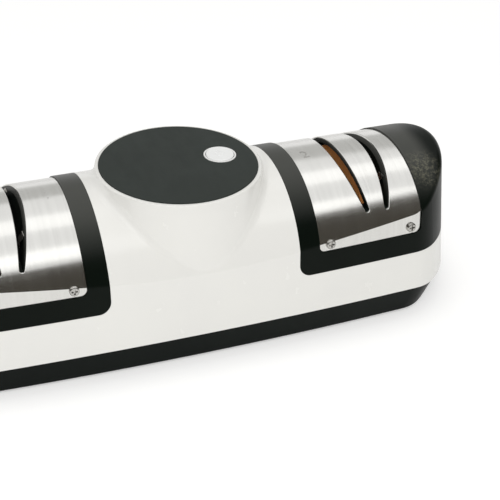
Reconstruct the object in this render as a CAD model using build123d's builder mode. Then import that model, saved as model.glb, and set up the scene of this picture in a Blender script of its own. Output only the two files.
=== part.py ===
from build123d import *
import os
from math import radians, sqrt, tan

# An electric knife sharpener: a long white body on a black base, a round control hub in the
# middle, and a grinding station under a steel cover at each end. One motor turns both wheels.
# X runs along the body, +X to the right of somebody who stands in front of it. -Y is the front,
# +Z is up, and the origin is on the table under the middle of the body. Millimetres.

os.makedirs("parts", exist_ok=True)

# ---------------------------------------------------------------- driving dimensions: outer form
FOOT_PROUD = 1.5  # height of the rubber feet below the base
PARTING_Z = 19.0  # line between the black base and the white body
HUB_SHOULDER = 11.2  # from the hub's rim out to the body's side, at the parting line
END_CAP_LENGTH = 37.9  # from the steel cover to the end, at the parting line
SIDE_BOW = 3.8  # how far the long sides fall back towards the corners
END_BULGE = 31.5  # how far the ends bulge beyond the corners
CORNER_RADIUS = 26.0
UPPER_CORNER_RADIUS = 32.0  # at the height of the disc
END_LEAN = 9.6  # how far the ends lean in, up to the height of the disc
SIDE_LEAN = 12.0  # how far the sides lean in, up to the height of the disc
BASE_END_TAPER = 6.0  # how far the base draws in towards the table
BASE_SIDE_TAPER = 3.0
BASE_SET_IN = 0.6  # step from the white body in to the base
WALL = 2.5
FIT_GAP = 0.3  # between shells that slip into each other
SEAM = 0.15  # the fine joint that shows between two shells
LIP_DEPTH = 3.0  # how far a shell's lip stands behind its neighbour
LIP_THICKNESS = 2.0
LOWER_EDGE_RADIUS = 1.6

ARCH_STEP = 2.2  # the round top's radius is this much less than the body's half depth
ARCH_AXIS_Z = 36.3
CAP_EDGE_RADIUS = 5.0  # soft edge between the arch and the ends

# ---------------------------------------------------------------- driving dimensions: hub and controls
DISC_RADIUS = 45.0
DISC_THICKNESS = 2.0
DISC_RISE = 4.7  # above the arch's crest
DISC_EDGE_RADIUS = 0.4
HUB_RIM_WIDTH = 2.0
HUB_RIM_DROP = 0.5  # the white rim is this much lower than the disc
HUB_RIM_EDGE_RADIUS = 0.8
HUB_SLOPE = 7.0  # degrees
HUB_BLEND = 6.0  # radius where the hub runs into the arch
DECK_THICKNESS = 2.5  # the floor that carries the disc
BUTTON_INSET = 19.4  # from the disc's edge to the middle of the button
BUTTON_Y = 1.5
BEZEL_RADIUS = 9.3
BEZEL_WALL = 1.0
BEZEL_PROUD = 0.3
BEZEL_EDGE_RADIUS = 0.24
BEZEL_FLOOR = 1.2
BEZEL_FLANGE_RADIUS = 11.0
BEZEL_FLANGE_THICKNESS = 0.8
BUTTON_GAP = 0.35
BUTTON_PROUD = 0.7
BUTTON_TRAVEL = 1.0
BUTTON_CAP_DEPTH = 2.2
BUTTON_CAP_WALL = 1.2
BUTTON_EDGE_RADIUS = 0.5
STEM_RADIUS = 2.6
STEM_GAP = 0.5
STEM_CLIP_RADIUS = 3.7
STEM_CLIP_HEIGHT = 0.9
SYMBOL_RADIUS = 2.9  # the plain power sign sunk in the button
SYMBOL_LINE = 0.6
SYMBOL_DEPTH = 0.25
SYMBOL_OPENING = 2.2  # width left open at the top of the sign's ring
SWITCH_WIDTH = 12.0
SWITCH_HEIGHT = 3.6
SWITCH_FLOOR = 0.7
PLUNGER_RADIUS = 1.7
PLUNGER_DEPTH = 1.5  # how deep the plunger stands in the switch at rest
INDICATOR_X = 3.0
INDICATOR_COUNT = 3
INDICATOR_PITCH = 8.0
INDICATOR_LENGTH = 9.0
INDICATOR_WIDTH = 4.5
INDICATOR_SKIN = 0.8  # thickness of the disc over each hidden indicator
LED_LENGTH = 3.5
LED_WIDTH = 2.8
LED_HEIGHT = 1.9
GUIDE_WEB = 1.4

# ---------------------------------------------------------------- driving dimensions: stations
PANEL_MARGIN = 8.0  # from the hub's rim to the black station housing
PANEL_Z = 42.4  # lower edge of the black station housing
PANEL_CORNER_RADIUS = 7.0
COVER_MARGIN = 12.3  # from the housing's inner edge to the steel cover
COVER_LENGTH = 65.4
COVER_Z = 54.8  # lower edge of the steel cover
COVER_CORNER_RADIUS = 3.5
COVER_SINK = 0.8  # outer face of the steel below the black arch
COVER_THICKNESS = 0.8
COVER_GAP = 0.2
COVER_EDGE_RADIUS = 0.35
COVER_SCREW_INSET_X = 6.8
COVER_SCREW_Z = 58.6
COVER_SCREW_LENGTH = 6.0
COVER_BOSS_RADIUS = 3.2
COVER_BOSS_DEPTH = 9.0
SLOT_MARGIN = 27.25  # from the middle between the two slots to the cover's outer edge
SLOT_FLOOR_Z = 70.6
SLOT_INNER_FOOT = 4.6  # edges of a slot from the middle, at the slot floor
SLOT_OUTER_FOOT = 7.1
SLOT_INNER_SLOPE = 9.5  # degrees from upright
SLOT_OUTER_SLOPE = 21.0
SLOT_LEDGE = 0.35  # how far the black housing stands into a slot of the cover
SLOT_FOOT_RADIUS = 1.1
BLADE_GUIDE_WALL = 1.8
BLADE_GUIDE_SHELF = 3.5
SPRING_Y = 24.0
SPRING_FOOT = 4.5  # above the blades' floor
SPRING_WIDTH = 5.0
SPRING_THICKNESS = 0.4
SPRING_BULGE = 1.0
SPRING_RISE = 7.0

# ---------------------------------------------------------------- driving dimensions: drive
WHEEL_ROOF_GAP = 1.15  # between the wheel and the housing's crest
WHEEL_FLOOR_GAP = 1.0
WHEEL_THICKNESS = 9.4
WHEEL_CHAMFER = 0.6
WHEEL_CLEARANCE = 1.0
SHAFT_RADIUS = 4.0
SHAFT_CHAMFER = 0.6
SHAFT_END_GAP = 2.5  # between the motor's shaft and a wheel's shaft
SHAFT_OVERHANG = 9.0  # beyond the middle of the outer pedestal
RUNNING_GAP = 0.05
MOTOR_RADIUS = 21.0
MOTOR_HALF_LENGTH = 29.0
MOTOR_CAN_WALL = 2.0
MOTOR_SHAFT_RADIUS = 2.5
MOTOR_SHAFT_REACH = 18.0  # beyond the motor's end
BELL_THICKNESS = 3.5
MAGNET_THICKNESS = 2.4
MAGNET_HALF_LENGTH = 18.0
MAGNET_SPLIT = 16.0  # width of the two gaps between the magnets
AIR_GAP = 0.8
CORE_HALF_LENGTH = 16.0
CORE_SLOTS = 5
CORE_SLOT_WIDTH = 3.0
CORE_SLOT_DEPTH = 7.0
WINDING_RADIUS = 11.5
WINDING_LENGTH = 3.0
COMMUTATOR_RADIUS = 5.5
MOTOR_BUSHING_RADIUS = 5.0
MOTOR_BUSHING_OVERHANG = 2.0  # beyond the end bell
BRUSH_WIDTH = 4.0
BRUSH_LENGTH = 7.0
COUPLING_RADIUS = 8.0
COUPLING_MOTOR_GRIP = 11.0
COUPLING_SHAFT_GRIP = 12.5
FLANGE_RADIUS = 12.0
FLANGE_THICKNESS = 3.0
NUT_RADIUS = 7.5
NUT_THICKNESS = 5.0
BUSHING_RADIUS = 7.0
BUSHING_LENGTH = 8.0
PEDESTAL_INNER_ASIDE = 25.45  # pedestals from the middle of the station
PEDESTAL_OUTER_ASIDE = 18.55
PEDESTAL_THICKNESS = 7.0
PEDESTAL_HALF_WIDTH = 17.5
PEDESTAL_EAR_Y = 13.2
CLAMP_INSET = 7.0  # from the motor's ends to the middle of its clamps
CLAMP_WIDTH = 8.0
CLAMP_THICKNESS = 4.0
CLAMP_HALF_WIDTH = 36.0
CLAMP_EAR_Y = 31.0
CLAMP_SCREW_LENGTH = 12.0
RUBBER_THICKNESS = 2.0
DUST_MAGNET_ASIDE = 1.6  # from the wheel
DUST_MAGNET_LENGTH = 7.0
DUST_MAGNET_WIDTH = 30.0
DUST_MAGNET_HEIGHT = 2.0

# ---------------------------------------------------------------- driving dimensions: fastening, electrics
SCREW_RADIUS = 1.45
SCREW_HEAD_RADIUS = 2.75
SCREW_HEAD_HEIGHT = 1.5
SCREW_HEAD_EDGE_RADIUS = 0.8
SCREW_CROSS_LENGTH = 3.4
SCREW_CROSS_WIDTH = 0.9
SCREW_CROSS_DEPTH = 1.0
SCREW_GAP = 0.1
POST_RADIUS = 4.5
POST_TOP_Z = 24.0
BODY_POST_ASIDE = 8.0  # posts of the white body from the station housing
HOUSING_POST_ASIDE = 5.7  # posts of the station housing from the inner edge of the steel cover
END_POST_ASIDE = 13.3  # and from its outer edge
BODY_POST_INSET = 15.2  # posts from the body's long sides
HOUSING_POST_INSET = 18.2
END_POST_Y = 20.0
BASE_SCREW_LENGTH = 28.0
SCREW_WELL_RADIUS = 3.6
SCREW_WELL_DEPTH = 3.4
FOOT_RADIUS = 7.0
FOOT_RECESS = 1.0
FOOT_EDGE_RADIUS = 0.5
FOOT_INSET_X = 44.6  # feet from the body's ends and sides
FOOT_INSET_Y = 23.2
VENT_LENGTH = 26.0
VENT_WIDTH = 2.4
VENT_PITCH = 5.2
VENT_COUNT = 7
BOARD_THICKNESS = 1.6
BOARD_DEPTH = 10.6  # the board's top below the disc's
BOARD_X = 12.0
BOARD_LENGTH = 54.0
BOARD_WIDTH = 34.0
BOARD_POST_RADIUS = 3.0
BOARD_SCREW_X = 23.0
BOARD_SCREW_Y = 13.5
BOARD_SCREW_LENGTH = 6.0
CAPACITOR_RADIUS = 4.0
CAPACITOR_HEIGHT = 10.0
CAPACITOR_EDGE_RADIUS = 0.8
CAPACITOR_X = -7.0
CAPACITOR_Y = -6.0
CONNECTOR_LENGTH = 9.0
CONNECTOR_WIDTH = 6.0
CONNECTOR_HEIGHT = 6.0
JACK_PLUG_X = 0.0  # connector of the leads from the power inlet
JACK_PLUG_Y = 10.0
MOTOR_PLUG_ASIDE = 4.0  # connector of the motor's leads, from the motor's end
JACK_Z = 32.0
JACK_NOSE_RADIUS = 5.0
JACK_NOSE_SINK = 0.6  # the inlet's nose lies this much behind the body's rear face
JACK_BORE_RADIUS = 3.1
JACK_BORE_DEPTH = 9.0
JACK_PIN_RADIUS = 1.05
JACK_BLOCK_WIDTH = 12.0
JACK_BLOCK_HEIGHT = 12.0
JACK_BLOCK_DEPTH = 12.0
LEAD_RADIUS = 0.8
LEAD_SPACING = 4.0
LEAD_DROP = 20.0  # how far below the board the leads turn
BEND_SHARE = 0.45  # share of its shorter run that a bend may take

# ---------------------------------------------------------------- derived values
HUB_RIM_RADIUS = DISC_RADIUS + HUB_RIM_WIDTH
BODY_HALF_DEPTH = HUB_RIM_RADIUS + HUB_SHOULDER
ARCH_RADIUS = BODY_HALF_DEPTH - ARCH_STEP
ARCH_CREST_Z = ARCH_AXIS_Z + ARCH_RADIUS
DISC_TOP_Z = ARCH_CREST_Z + DISC_RISE
FORM_HEIGHT = DISC_TOP_Z - PARTING_Z
PANEL_X = HUB_RIM_RADIUS + PANEL_MARGIN
COVER_X0 = PANEL_X + COVER_MARGIN
COVER_X1 = COVER_X0 + COVER_LENGTH
SLOT_CENTRE_X = COVER_X1 - SLOT_MARGIN
BODY_HALF_LENGTH = COVER_X1 + END_CAP_LENGTH
BUTTON_X = DISC_RADIUS - BUTTON_INSET
DECK_TOP_Z = DISC_TOP_Z - DISC_THICKNESS
DECK_LOW_Z = DECK_TOP_Z - DECK_THICKNESS
HUB_TOP_Z = DISC_TOP_Z - HUB_RIM_DROP
FLOOR_Z = FOOT_PROUD + WALL
LIP_INSET = WALL + FIT_GAP
COVER_INNER = COVER_SINK + COVER_THICKNESS
RECESS_INSET = COVER_INNER + RUNNING_GAP
HOUSING_INNER = RECESS_INSET + WALL
WHEEL_RADIUS = (ARCH_CREST_Z - HOUSING_INNER - WHEEL_ROOF_GAP - FLOOR_Z - WHEEL_FLOOR_GAP) / 2
AXIS_Z = FLOOR_Z + WHEEL_FLOOR_GAP + WHEEL_RADIUS  # motor, shafts and wheels
SCREW_HOLE_RADIUS = SCREW_RADIUS + SCREW_GAP
BEZEL_FLOOR_TOP_Z = DECK_LOW_Z + BEZEL_FLOOR
BUTTON_TOP_Z = DISC_TOP_Z + BUTTON_PROUD
BUTTON_LOW_Z = BUTTON_TOP_Z - BUTTON_CAP_DEPTH
BUTTON_RADIUS = BEZEL_RADIUS - BEZEL_WALL - BUTTON_GAP
CLIP_TOP_Z = DECK_LOW_Z - FIT_GAP
CLIP_LOW_Z = CLIP_TOP_Z - STEM_CLIP_HEIGHT
BOARD_TOP_Z = DISC_TOP_Z - BOARD_DEPTH
SWITCH_TOP_Z = BOARD_TOP_Z + SWITCH_HEIGHT
BOARD_LOW_Z = BOARD_TOP_Z - BOARD_THICKNESS
PLUG_LOW_Z = BOARD_LOW_Z - CONNECTOR_HEIGHT
INDICATOR_PLACES = [
    (INDICATOR_X, INDICATOR_PITCH * (index - (INDICATOR_COUNT - 1) / 2)) for index in range(INDICATOR_COUNT)
]
WHEEL_X0 = SLOT_CENTRE_X - WHEEL_THICKNESS / 2
WHEEL_X1 = SLOT_CENTRE_X + WHEEL_THICKNESS / 2
PEDESTAL_X = (SLOT_CENTRE_X - PEDESTAL_INNER_ASIDE, SLOT_CENTRE_X + PEDESTAL_OUTER_ASIDE)
MOTOR_SHAFT_END_X = MOTOR_HALF_LENGTH + MOTOR_SHAFT_REACH
SHAFT_START_X = MOTOR_SHAFT_END_X + SHAFT_END_GAP
SHAFT_END_X = SLOT_CENTRE_X + PEDESTAL_OUTER_ASIDE + SHAFT_OVERHANG
COUPLING_START_X = MOTOR_SHAFT_END_X - COUPLING_MOTOR_GRIP
COUPLING_END_X = SHAFT_START_X + COUPLING_SHAFT_GRIP
BODY_SCREW_PLACES = [(PANEL_X - BODY_POST_ASIDE, BODY_HALF_DEPTH - BODY_POST_INSET)]
HOUSING_SCREW_PLACES = [
    (COVER_X0 + HOUSING_POST_ASIDE, BODY_HALF_DEPTH - HOUSING_POST_INSET),
    (COVER_X1 + END_POST_ASIDE, END_POST_Y),
]
FOOT_X = BODY_HALF_LENGTH - FOOT_INSET_X
FOOT_Y = BODY_HALF_DEPTH - FOOT_INSET_Y
CLAMP_X = MOTOR_HALF_LENGTH - CLAMP_INSET
MOTOR_PLUG_X = MOTOR_HALF_LENGTH + MOTOR_PLUG_ASIDE
CAN_HALF_LENGTH = MOTOR_HALF_LENGTH - BELL_THICKNESS
CAN_INNER_RADIUS = MOTOR_RADIUS - MOTOR_CAN_WALL
CORE_RADIUS = CAN_INNER_RADIUS - MAGNET_THICKNESS - AIR_GAP
MOTOR_SEAT_RADIUS = MOTOR_RADIUS + RUBBER_THICKNESS
FAR = 2 * BODY_HALF_LENGTH


# ---------------------------------------------------------------- helpers
def keep(piece, node):
    """Label a finished piece and write it."""
    piece.part.label = node
    export_step(piece.part, f"parts/{node}.step")


def keep_pair(piece, node):
    """Write a right-hand piece and its mirror image for the left end."""
    keep(piece, f"right_{node}")
    with BuildPart() as twin:
        mirror(piece.part, about=Plane.YZ)
    keep(twin, f"left_{node}")


def four_ways(places):
    """Each place in all four quarters of the plan."""
    return [(side * x, face * y) for x, y in places for side in (-1, 1) for face in (-1, 1)]


def both_faces(places):
    """Each place at the front and at the rear."""
    return [(x, face * y) for x, y in places for face in (-1, 1)]


def facing_down(places, z):
    """Planes at a height that look down at the table."""
    return [Plane(origin=(x, y, z), z_dir=(0, 0, -1)) for x, y in places]


def facing_up(places, z):
    """Planes at a height that look up."""
    return [Plane(origin=(x, y, z)) for x, y in places]


def block(x0, x1, y0, y1, z0, z1):
    """A plain block between two corners."""
    with BuildPart() as piece:
        with BuildSketch(Plane.XY.offset(z0)):
            with Locations(((x0 + x1) / 2, (y0 + y1) / 2)):
                Rectangle(x1 - x0, y1 - y0)
        extrude(amount=z1 - z0)
    return piece.part


def uprights(places, z0, z1, radius):
    """Plain upright cylinders."""
    with BuildPart() as posts:
        with BuildSketch(Plane.XY.offset(z0)):
            with Locations(*places):
                Circle(radius)
        extrude(amount=z1 - z0)
    return posts.part


def on_axis(x0, x1, radius, bore=0.0):
    """A cylinder on the drive's axis, with a bore if one is given."""
    with BuildPart() as rod:
        with BuildSketch(Plane.YZ.offset(x0)):
            with Locations((0, AXIS_Z)):
                Circle(radius)
                if bore:
                    Circle(bore, mode=Mode.SUBTRACT)
        extrude(amount=x1 - x0)
    return rod.part


def pan_head_screw(length):
    """A cross-recessed pan head screw: the head stands on the XY plane, the shank below it."""
    with BuildPart() as screw:
        with BuildSketch():
            Circle(SCREW_HEAD_RADIUS)
        extrude(amount=SCREW_HEAD_HEIGHT)
        fillet(screw.faces().sort_by(Axis.Z)[-1].edges(), SCREW_HEAD_EDGE_RADIUS)
        with BuildSketch():
            Circle(SCREW_RADIUS)
        extrude(amount=-length)
        with BuildSketch(Plane.XY.offset(SCREW_HEAD_HEIGHT)):
            Rectangle(SCREW_CROSS_LENGTH, SCREW_CROSS_WIDTH)
            Rectangle(SCREW_CROSS_WIDTH, SCREW_CROSS_LENGTH)
        extrude(amount=-SCREW_CROSS_DEPTH, mode=Mode.SUBTRACT)
    return screw.part


def lead(*points):
    """A wire through the points, with each bend as wide as its two runs allow."""
    stops = [Vector(*point) for point in points]
    runs = [after - before for before, after in zip(stops, stops[1:])]
    bends = [
        BEND_SHARE * min(run.length, following.length) / tan(radians(run.get_angle(following)) / 2)
        for run, following in zip(runs, runs[1:])
    ]
    with BuildPart() as wire:
        with BuildLine() as path:
            FilletPolyline(*points, radius=bends)
        with BuildSketch(Plane(origin=points[0], z_dir=runs[0])):
            Circle(LEAD_RADIUS)
        sweep(path=path.line)
    return wire.part


# ---------------------------------------------------------------- the body's forms
def bowed_outline(half_length, half_depth, corner_radius):
    """A long outline with bowed sides, bulging ends and round corners."""
    corner_x = half_length - END_BULGE
    corner_y = half_depth - SIDE_BOW
    with BuildSketch() as outline:
        with BuildLine():
            ThreePointArc((-corner_x, -corner_y), (0, -half_depth), (corner_x, -corner_y))
            ThreePointArc((corner_x, -corner_y), (half_length, 0), (corner_x, corner_y))
            ThreePointArc((corner_x, corner_y), (0, half_depth), (-corner_x, corner_y))
            ThreePointArc((-corner_x, corner_y), (-half_length, 0), (-corner_x, -corner_y))
        make_face()
        fillet(outline.vertices(), corner_radius)
    return outline.sketch


def body_outline(z, inset):
    """The plan of the body at a height, moved in by inset."""
    rise = (z - PARTING_Z) / FORM_HEIGHT
    return bowed_outline(
        BODY_HALF_LENGTH - END_LEAN * rise - inset,
        BODY_HALF_DEPTH - SIDE_LEAN * rise - inset,
        CORNER_RADIUS + (UPPER_CORNER_RADIUS - CORNER_RADIUS) * rise - inset,
    )


def side_y(inset, z):
    """How far a long side, moved in by inset, stands from the middle at a height, halfway along."""
    return BODY_HALF_DEPTH - SIDE_LEAN * (z - PARTING_Z) / FORM_HEIGHT - inset


def side_plane(x, face, z, inset):
    """A plane square to the front (face -1) or rear (face 1) side, moved in by inset."""
    corner_x = BODY_HALF_LENGTH - END_LEAN * (z - PARTING_Z) / FORM_HEIGHT - END_BULGE
    radius = (corner_x**2 + SIDE_BOW**2) / (2 * SIDE_BOW)
    y = side_y(inset, z) - radius + sqrt(radius**2 - x**2)
    facing = (x / radius, face, SIDE_LEAN / FORM_HEIGHT)
    return Plane(origin=(x, face * y, z), x_dir=(1, 0, 0), z_dir=facing)


def arch_section(inset):
    """The section of the body's round top, on flared walls just outside the leaning sides."""
    radius = ARCH_RADIUS - inset
    foot = radius + ARCH_AXIS_Z * SIDE_LEAN / FORM_HEIGHT
    with BuildSketch() as section:
        with BuildLine():
            Polyline((-radius, ARCH_AXIS_Z), (-foot, 0), (foot, 0), (radius, ARCH_AXIS_Z))
            ThreePointArc((radius, ARCH_AXIS_Z), (0, ARCH_AXIS_Z + radius), (-radius, ARCH_AXIS_Z))
        make_face()
    return section.sketch


def body_form(inset, low, high):
    """The body's outer form between two heights, moved in by inset."""
    with BuildPart() as form:
        for z in (low, high):
            with BuildSketch(Plane.XY.offset(z)):
                add(body_outline(z, inset))
        loft(ruled=True)
        with BuildSketch(Plane.YZ):
            add(arch_section(inset))
        extrude(amount=FAR, both=True, mode=Mode.INTERSECT)
    return form.part


def body_band(outer, inner, low, high):
    """A wall that follows the body's form, between two insets."""
    with BuildPart() as band:
        add(body_form(outer, low, high))
        add(body_form(inner, low - WALL, high + WALL), mode=Mode.SUBTRACT)
    return band.part


def base_form(inset, low, high):
    """The base's outer form between two heights, moved in by inset."""
    with BuildPart() as form:
        for z in (low, high):
            drop = (PARTING_Z - z) / (PARTING_Z - FOOT_PROUD)
            with BuildSketch(Plane.XY.offset(z)):
                add(bowed_outline(
                    BODY_HALF_LENGTH - BASE_SET_IN - BASE_END_TAPER * drop - inset,
                    BODY_HALF_DEPTH - BASE_SET_IN - BASE_SIDE_TAPER * drop - inset,
                    CORNER_RADIUS - BASE_SIDE_TAPER * drop - inset,
                ))
        loft(ruled=True)
    return form.part


def hub_form(low, high, inset, edge_radius=0.0):
    """The cone under the disc, moved in by inset, with a round upper edge if its radius is given."""
    flare = tan(radians(HUB_SLOPE))
    with BuildPart() as hub:
        with BuildSketch(Plane.XZ) as section:
            with BuildLine():
                Polyline(
                    (0, low),
                    (HUB_RIM_RADIUS + (HUB_TOP_Z - low) * flare - inset, low),
                    (HUB_RIM_RADIUS + (HUB_TOP_Z - high) * flare - inset, high),
                    (0, high),
                    close=True,
                )
            make_face()
            if edge_radius:
                fillet(section.vertices().group_by(Axis.Y)[-1].sort_by(Axis.X)[-1], edge_radius)
        revolve(axis=Axis.Z)
    return hub.part


def front_zone(x0, z0, x1, z1, corner_radius):
    """Everything behind a round-cornered window in the front view, through the whole depth."""
    with BuildPart() as zone:
        with BuildSketch(Plane.XZ):
            with Locations(((x0 + x1) / 2, (z0 + z1) / 2)):
                RectangleRounded(x1 - x0, z1 - z0, corner_radius)
        extrude(amount=FAR, both=True)
    return zone.part


def station_zone(grow):
    """What belongs to the right station, grown at its inner and lower edges."""
    return front_zone(PANEL_X - grow, PANEL_Z - grow, FAR, FAR, PANEL_CORNER_RADIUS + grow)


def cover_zone(grow):
    """What the right steel cover takes up, grown at its edges."""
    return front_zone(COVER_X0 - grow, COVER_Z - grow, COVER_X1 + grow, FAR, COVER_CORNER_RADIUS + grow)


def station_form():
    """The right station's outer form, with the soft edge between arch and end."""
    with BuildPart() as form:
        add(body_form(0, PARTING_Z, DISC_TOP_Z))
        add(station_zone(0), mode=Mode.INTERSECT)
        soft_edges = [
            edge
            for edge in form.edges()
            if edge.center().X > SLOT_CENTRE_X + SLOT_OUTER_FOOT
            and edge.bounding_box().min.Z > PANEL_Z + SEAM
            and edge.bounding_box().max.Z > COVER_Z
        ]
        fillet(soft_edges, CAP_EDGE_RADIUS)
    return form.part


def slot_edge(foot, slope, z):
    """How far a slot's edge is from the station's middle at a height."""
    return foot + max(z - SLOT_FLOOR_Z, 0) * tan(radians(slope))


def slot_cutter(ledge):
    """Both slots of the right station through the whole depth, narrowed by ledge."""
    low = SLOT_FLOOR_Z + ledge
    high = ARCH_CREST_Z + WALL
    inner_low = slot_edge(SLOT_INNER_FOOT, SLOT_INNER_SLOPE, low) + ledge
    inner_high = slot_edge(SLOT_INNER_FOOT, SLOT_INNER_SLOPE, high) + ledge
    outer_low = slot_edge(SLOT_OUTER_FOOT, SLOT_OUTER_SLOPE, low) - ledge
    outer_high = slot_edge(SLOT_OUTER_FOOT, SLOT_OUTER_SLOPE, high) - ledge
    corners = [(inner_low, low), (outer_low, low), (outer_high, high), (inner_high, high)]
    with BuildPart() as cutter:
        for side in (-1, 1):
            with BuildSketch(Plane.XZ) as slot:
                with BuildLine():
                    Polyline(*[(SLOT_CENTRE_X + side * x, z) for x, z in corners], close=True)
                make_face()
                fillet(slot.vertices().group_by(Axis.Y)[0], SLOT_FOOT_RADIUS - ledge)
            extrude(amount=FAR, both=True)
    return cutter.part


# ---------------------------------------------------------------- the base
def saddle(x, width, seat_radius, half_width):
    """A wall of the base with a half-round seat on the drive's axis."""
    with BuildPart() as wall:
        add(block(x - width / 2, x + width / 2, -half_width, half_width, FLOOR_Z - WALL / 2, AXIS_Z))
        add(on_axis(x - width, x + width, seat_radius), mode=Mode.SUBTRACT)
    return wall.part


def strap(x, width, seat_radius, half_width, ear_y):
    """The upper half of a bearing or clamp: a half ring with two ears for screws."""
    with BuildPart() as clamp:
        add(on_axis(x - width / 2, x + width / 2, seat_radius + CLAMP_THICKNESS))
        add(block(x - width / 2, x + width / 2, -half_width, half_width, AXIS_Z, AXIS_Z + CLAMP_THICKNESS))
        add(block(x - width, x + width, -half_width, half_width, 0, AXIS_Z), mode=Mode.SUBTRACT)
        add(on_axis(x - width, x + width, seat_radius), mode=Mode.SUBTRACT)
        with Locations(*facing_up(both_faces([(x, ear_y)]), AXIS_Z + CLAMP_THICKNESS)):
            Hole(radius=SCREW_HOLE_RADIUS, depth=CLAMP_THICKNESS)
    return clamp.part


post_places = four_ways(BODY_SCREW_PLACES + HOUSING_SCREW_PLACES)
motor_ears = four_ways([(CLAMP_X, CLAMP_EAR_Y)])
pedestal_ears = both_faces([(x, PEDESTAL_EAR_Y) for x in PEDESTAL_X])
all_pedestal_ears = four_ways([(x, PEDESTAL_EAR_Y) for x in PEDESTAL_X])

board_screw_places = [
    (BOARD_X + side * BOARD_SCREW_X, face * BOARD_SCREW_Y) for side in (-1, 1) for face in (-1, 1)
]
jack_low_z = JACK_Z - JACK_BLOCK_HEIGHT / 2
jack_rear_y = side_y(WALL, JACK_Z + JACK_BLOCK_HEIGHT / 2) - FIT_GAP
jack_front_y = jack_rear_y - JACK_BLOCK_DEPTH

with BuildPart() as base_housing:
    add(base_form(0, FOOT_PROUD, PARTING_Z))
    fillet(base_housing.faces().sort_by(Axis.Z)[0].edges(), LOWER_EDGE_RADIUS)
    add(base_form(WALL, FLOOR_Z, PARTING_Z + WALL), mode=Mode.SUBTRACT)
    # the lip that the white body slips over
    add(body_band(LIP_INSET, LIP_INSET + LIP_THICKNESS, PARTING_Z - LIP_DEPTH, PARTING_Z + LIP_DEPTH))
    add(uprights(post_places, FLOOR_Z - WALL / 2, POST_TOP_Z, POST_RADIUS))
    for side in (-1, 1):
        add(saddle(side * CLAMP_X, CLAMP_WIDTH, MOTOR_SEAT_RADIUS, CLAMP_HALF_WIDTH))
        for x in PEDESTAL_X:
            add(saddle(side * x, PEDESTAL_THICKNESS, BUSHING_RADIUS, PEDESTAL_HALF_WIDTH))
    add(block(-JACK_BLOCK_WIDTH / 2, JACK_BLOCK_WIDTH / 2, jack_front_y, jack_rear_y,
              FLOOR_Z - WALL / 2, jack_low_z))
    with Locations(*facing_down(post_places, FOOT_PROUD)):
        CounterBoreHole(SCREW_HOLE_RADIUS, SCREW_WELL_RADIUS, SCREW_WELL_DEPTH, POST_TOP_Z)
    with Locations(*facing_up(motor_ears + all_pedestal_ears, AXIS_Z)):
        Hole(radius=SCREW_HOLE_RADIUS, depth=CLAMP_SCREW_LENGTH)
    with Locations(*facing_down(four_ways([(FOOT_X, FOOT_Y)]), FOOT_PROUD)):
        Hole(radius=FOOT_RADIUS + SEAM, depth=FOOT_RECESS)
    with BuildSketch(Plane.XY.offset(FOOT_PROUD)):
        with GridLocations(VENT_PITCH, VENT_PITCH, VENT_COUNT, 1):
            SlotOverall(VENT_LENGTH, VENT_WIDTH, rotation=90)
    extrude(amount=WALL, mode=Mode.SUBTRACT)
keep(base_housing, "base_housing")

with BuildPart() as rubber_feet:
    with BuildSketch():
        with Locations(*four_ways([(FOOT_X, FOOT_Y)])):
            Circle(FOOT_RADIUS)
    extrude(amount=FOOT_PROUD + FOOT_RECESS)
    fillet(rubber_feet.edges().group_by(Axis.Z)[0], FOOT_EDGE_RADIUS)
keep(rubber_feet, "rubber_feet")

base_screw = pan_head_screw(BASE_SCREW_LENGTH)
with BuildPart() as base_screws:
    with Locations(*facing_down(post_places, FOOT_PROUD + SCREW_WELL_DEPTH)):
        add(base_screw)
keep(base_screws, "base_screws")

# ---------------------------------------------------------------- the white body
with BuildPart() as body_bosses:
    add(uprights(four_ways(BODY_SCREW_PLACES), POST_TOP_Z, ARCH_CREST_Z, POST_RADIUS))
    add(body_form(WALL / 2, PARTING_Z, DISC_TOP_Z), mode=Mode.INTERSECT)

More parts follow.
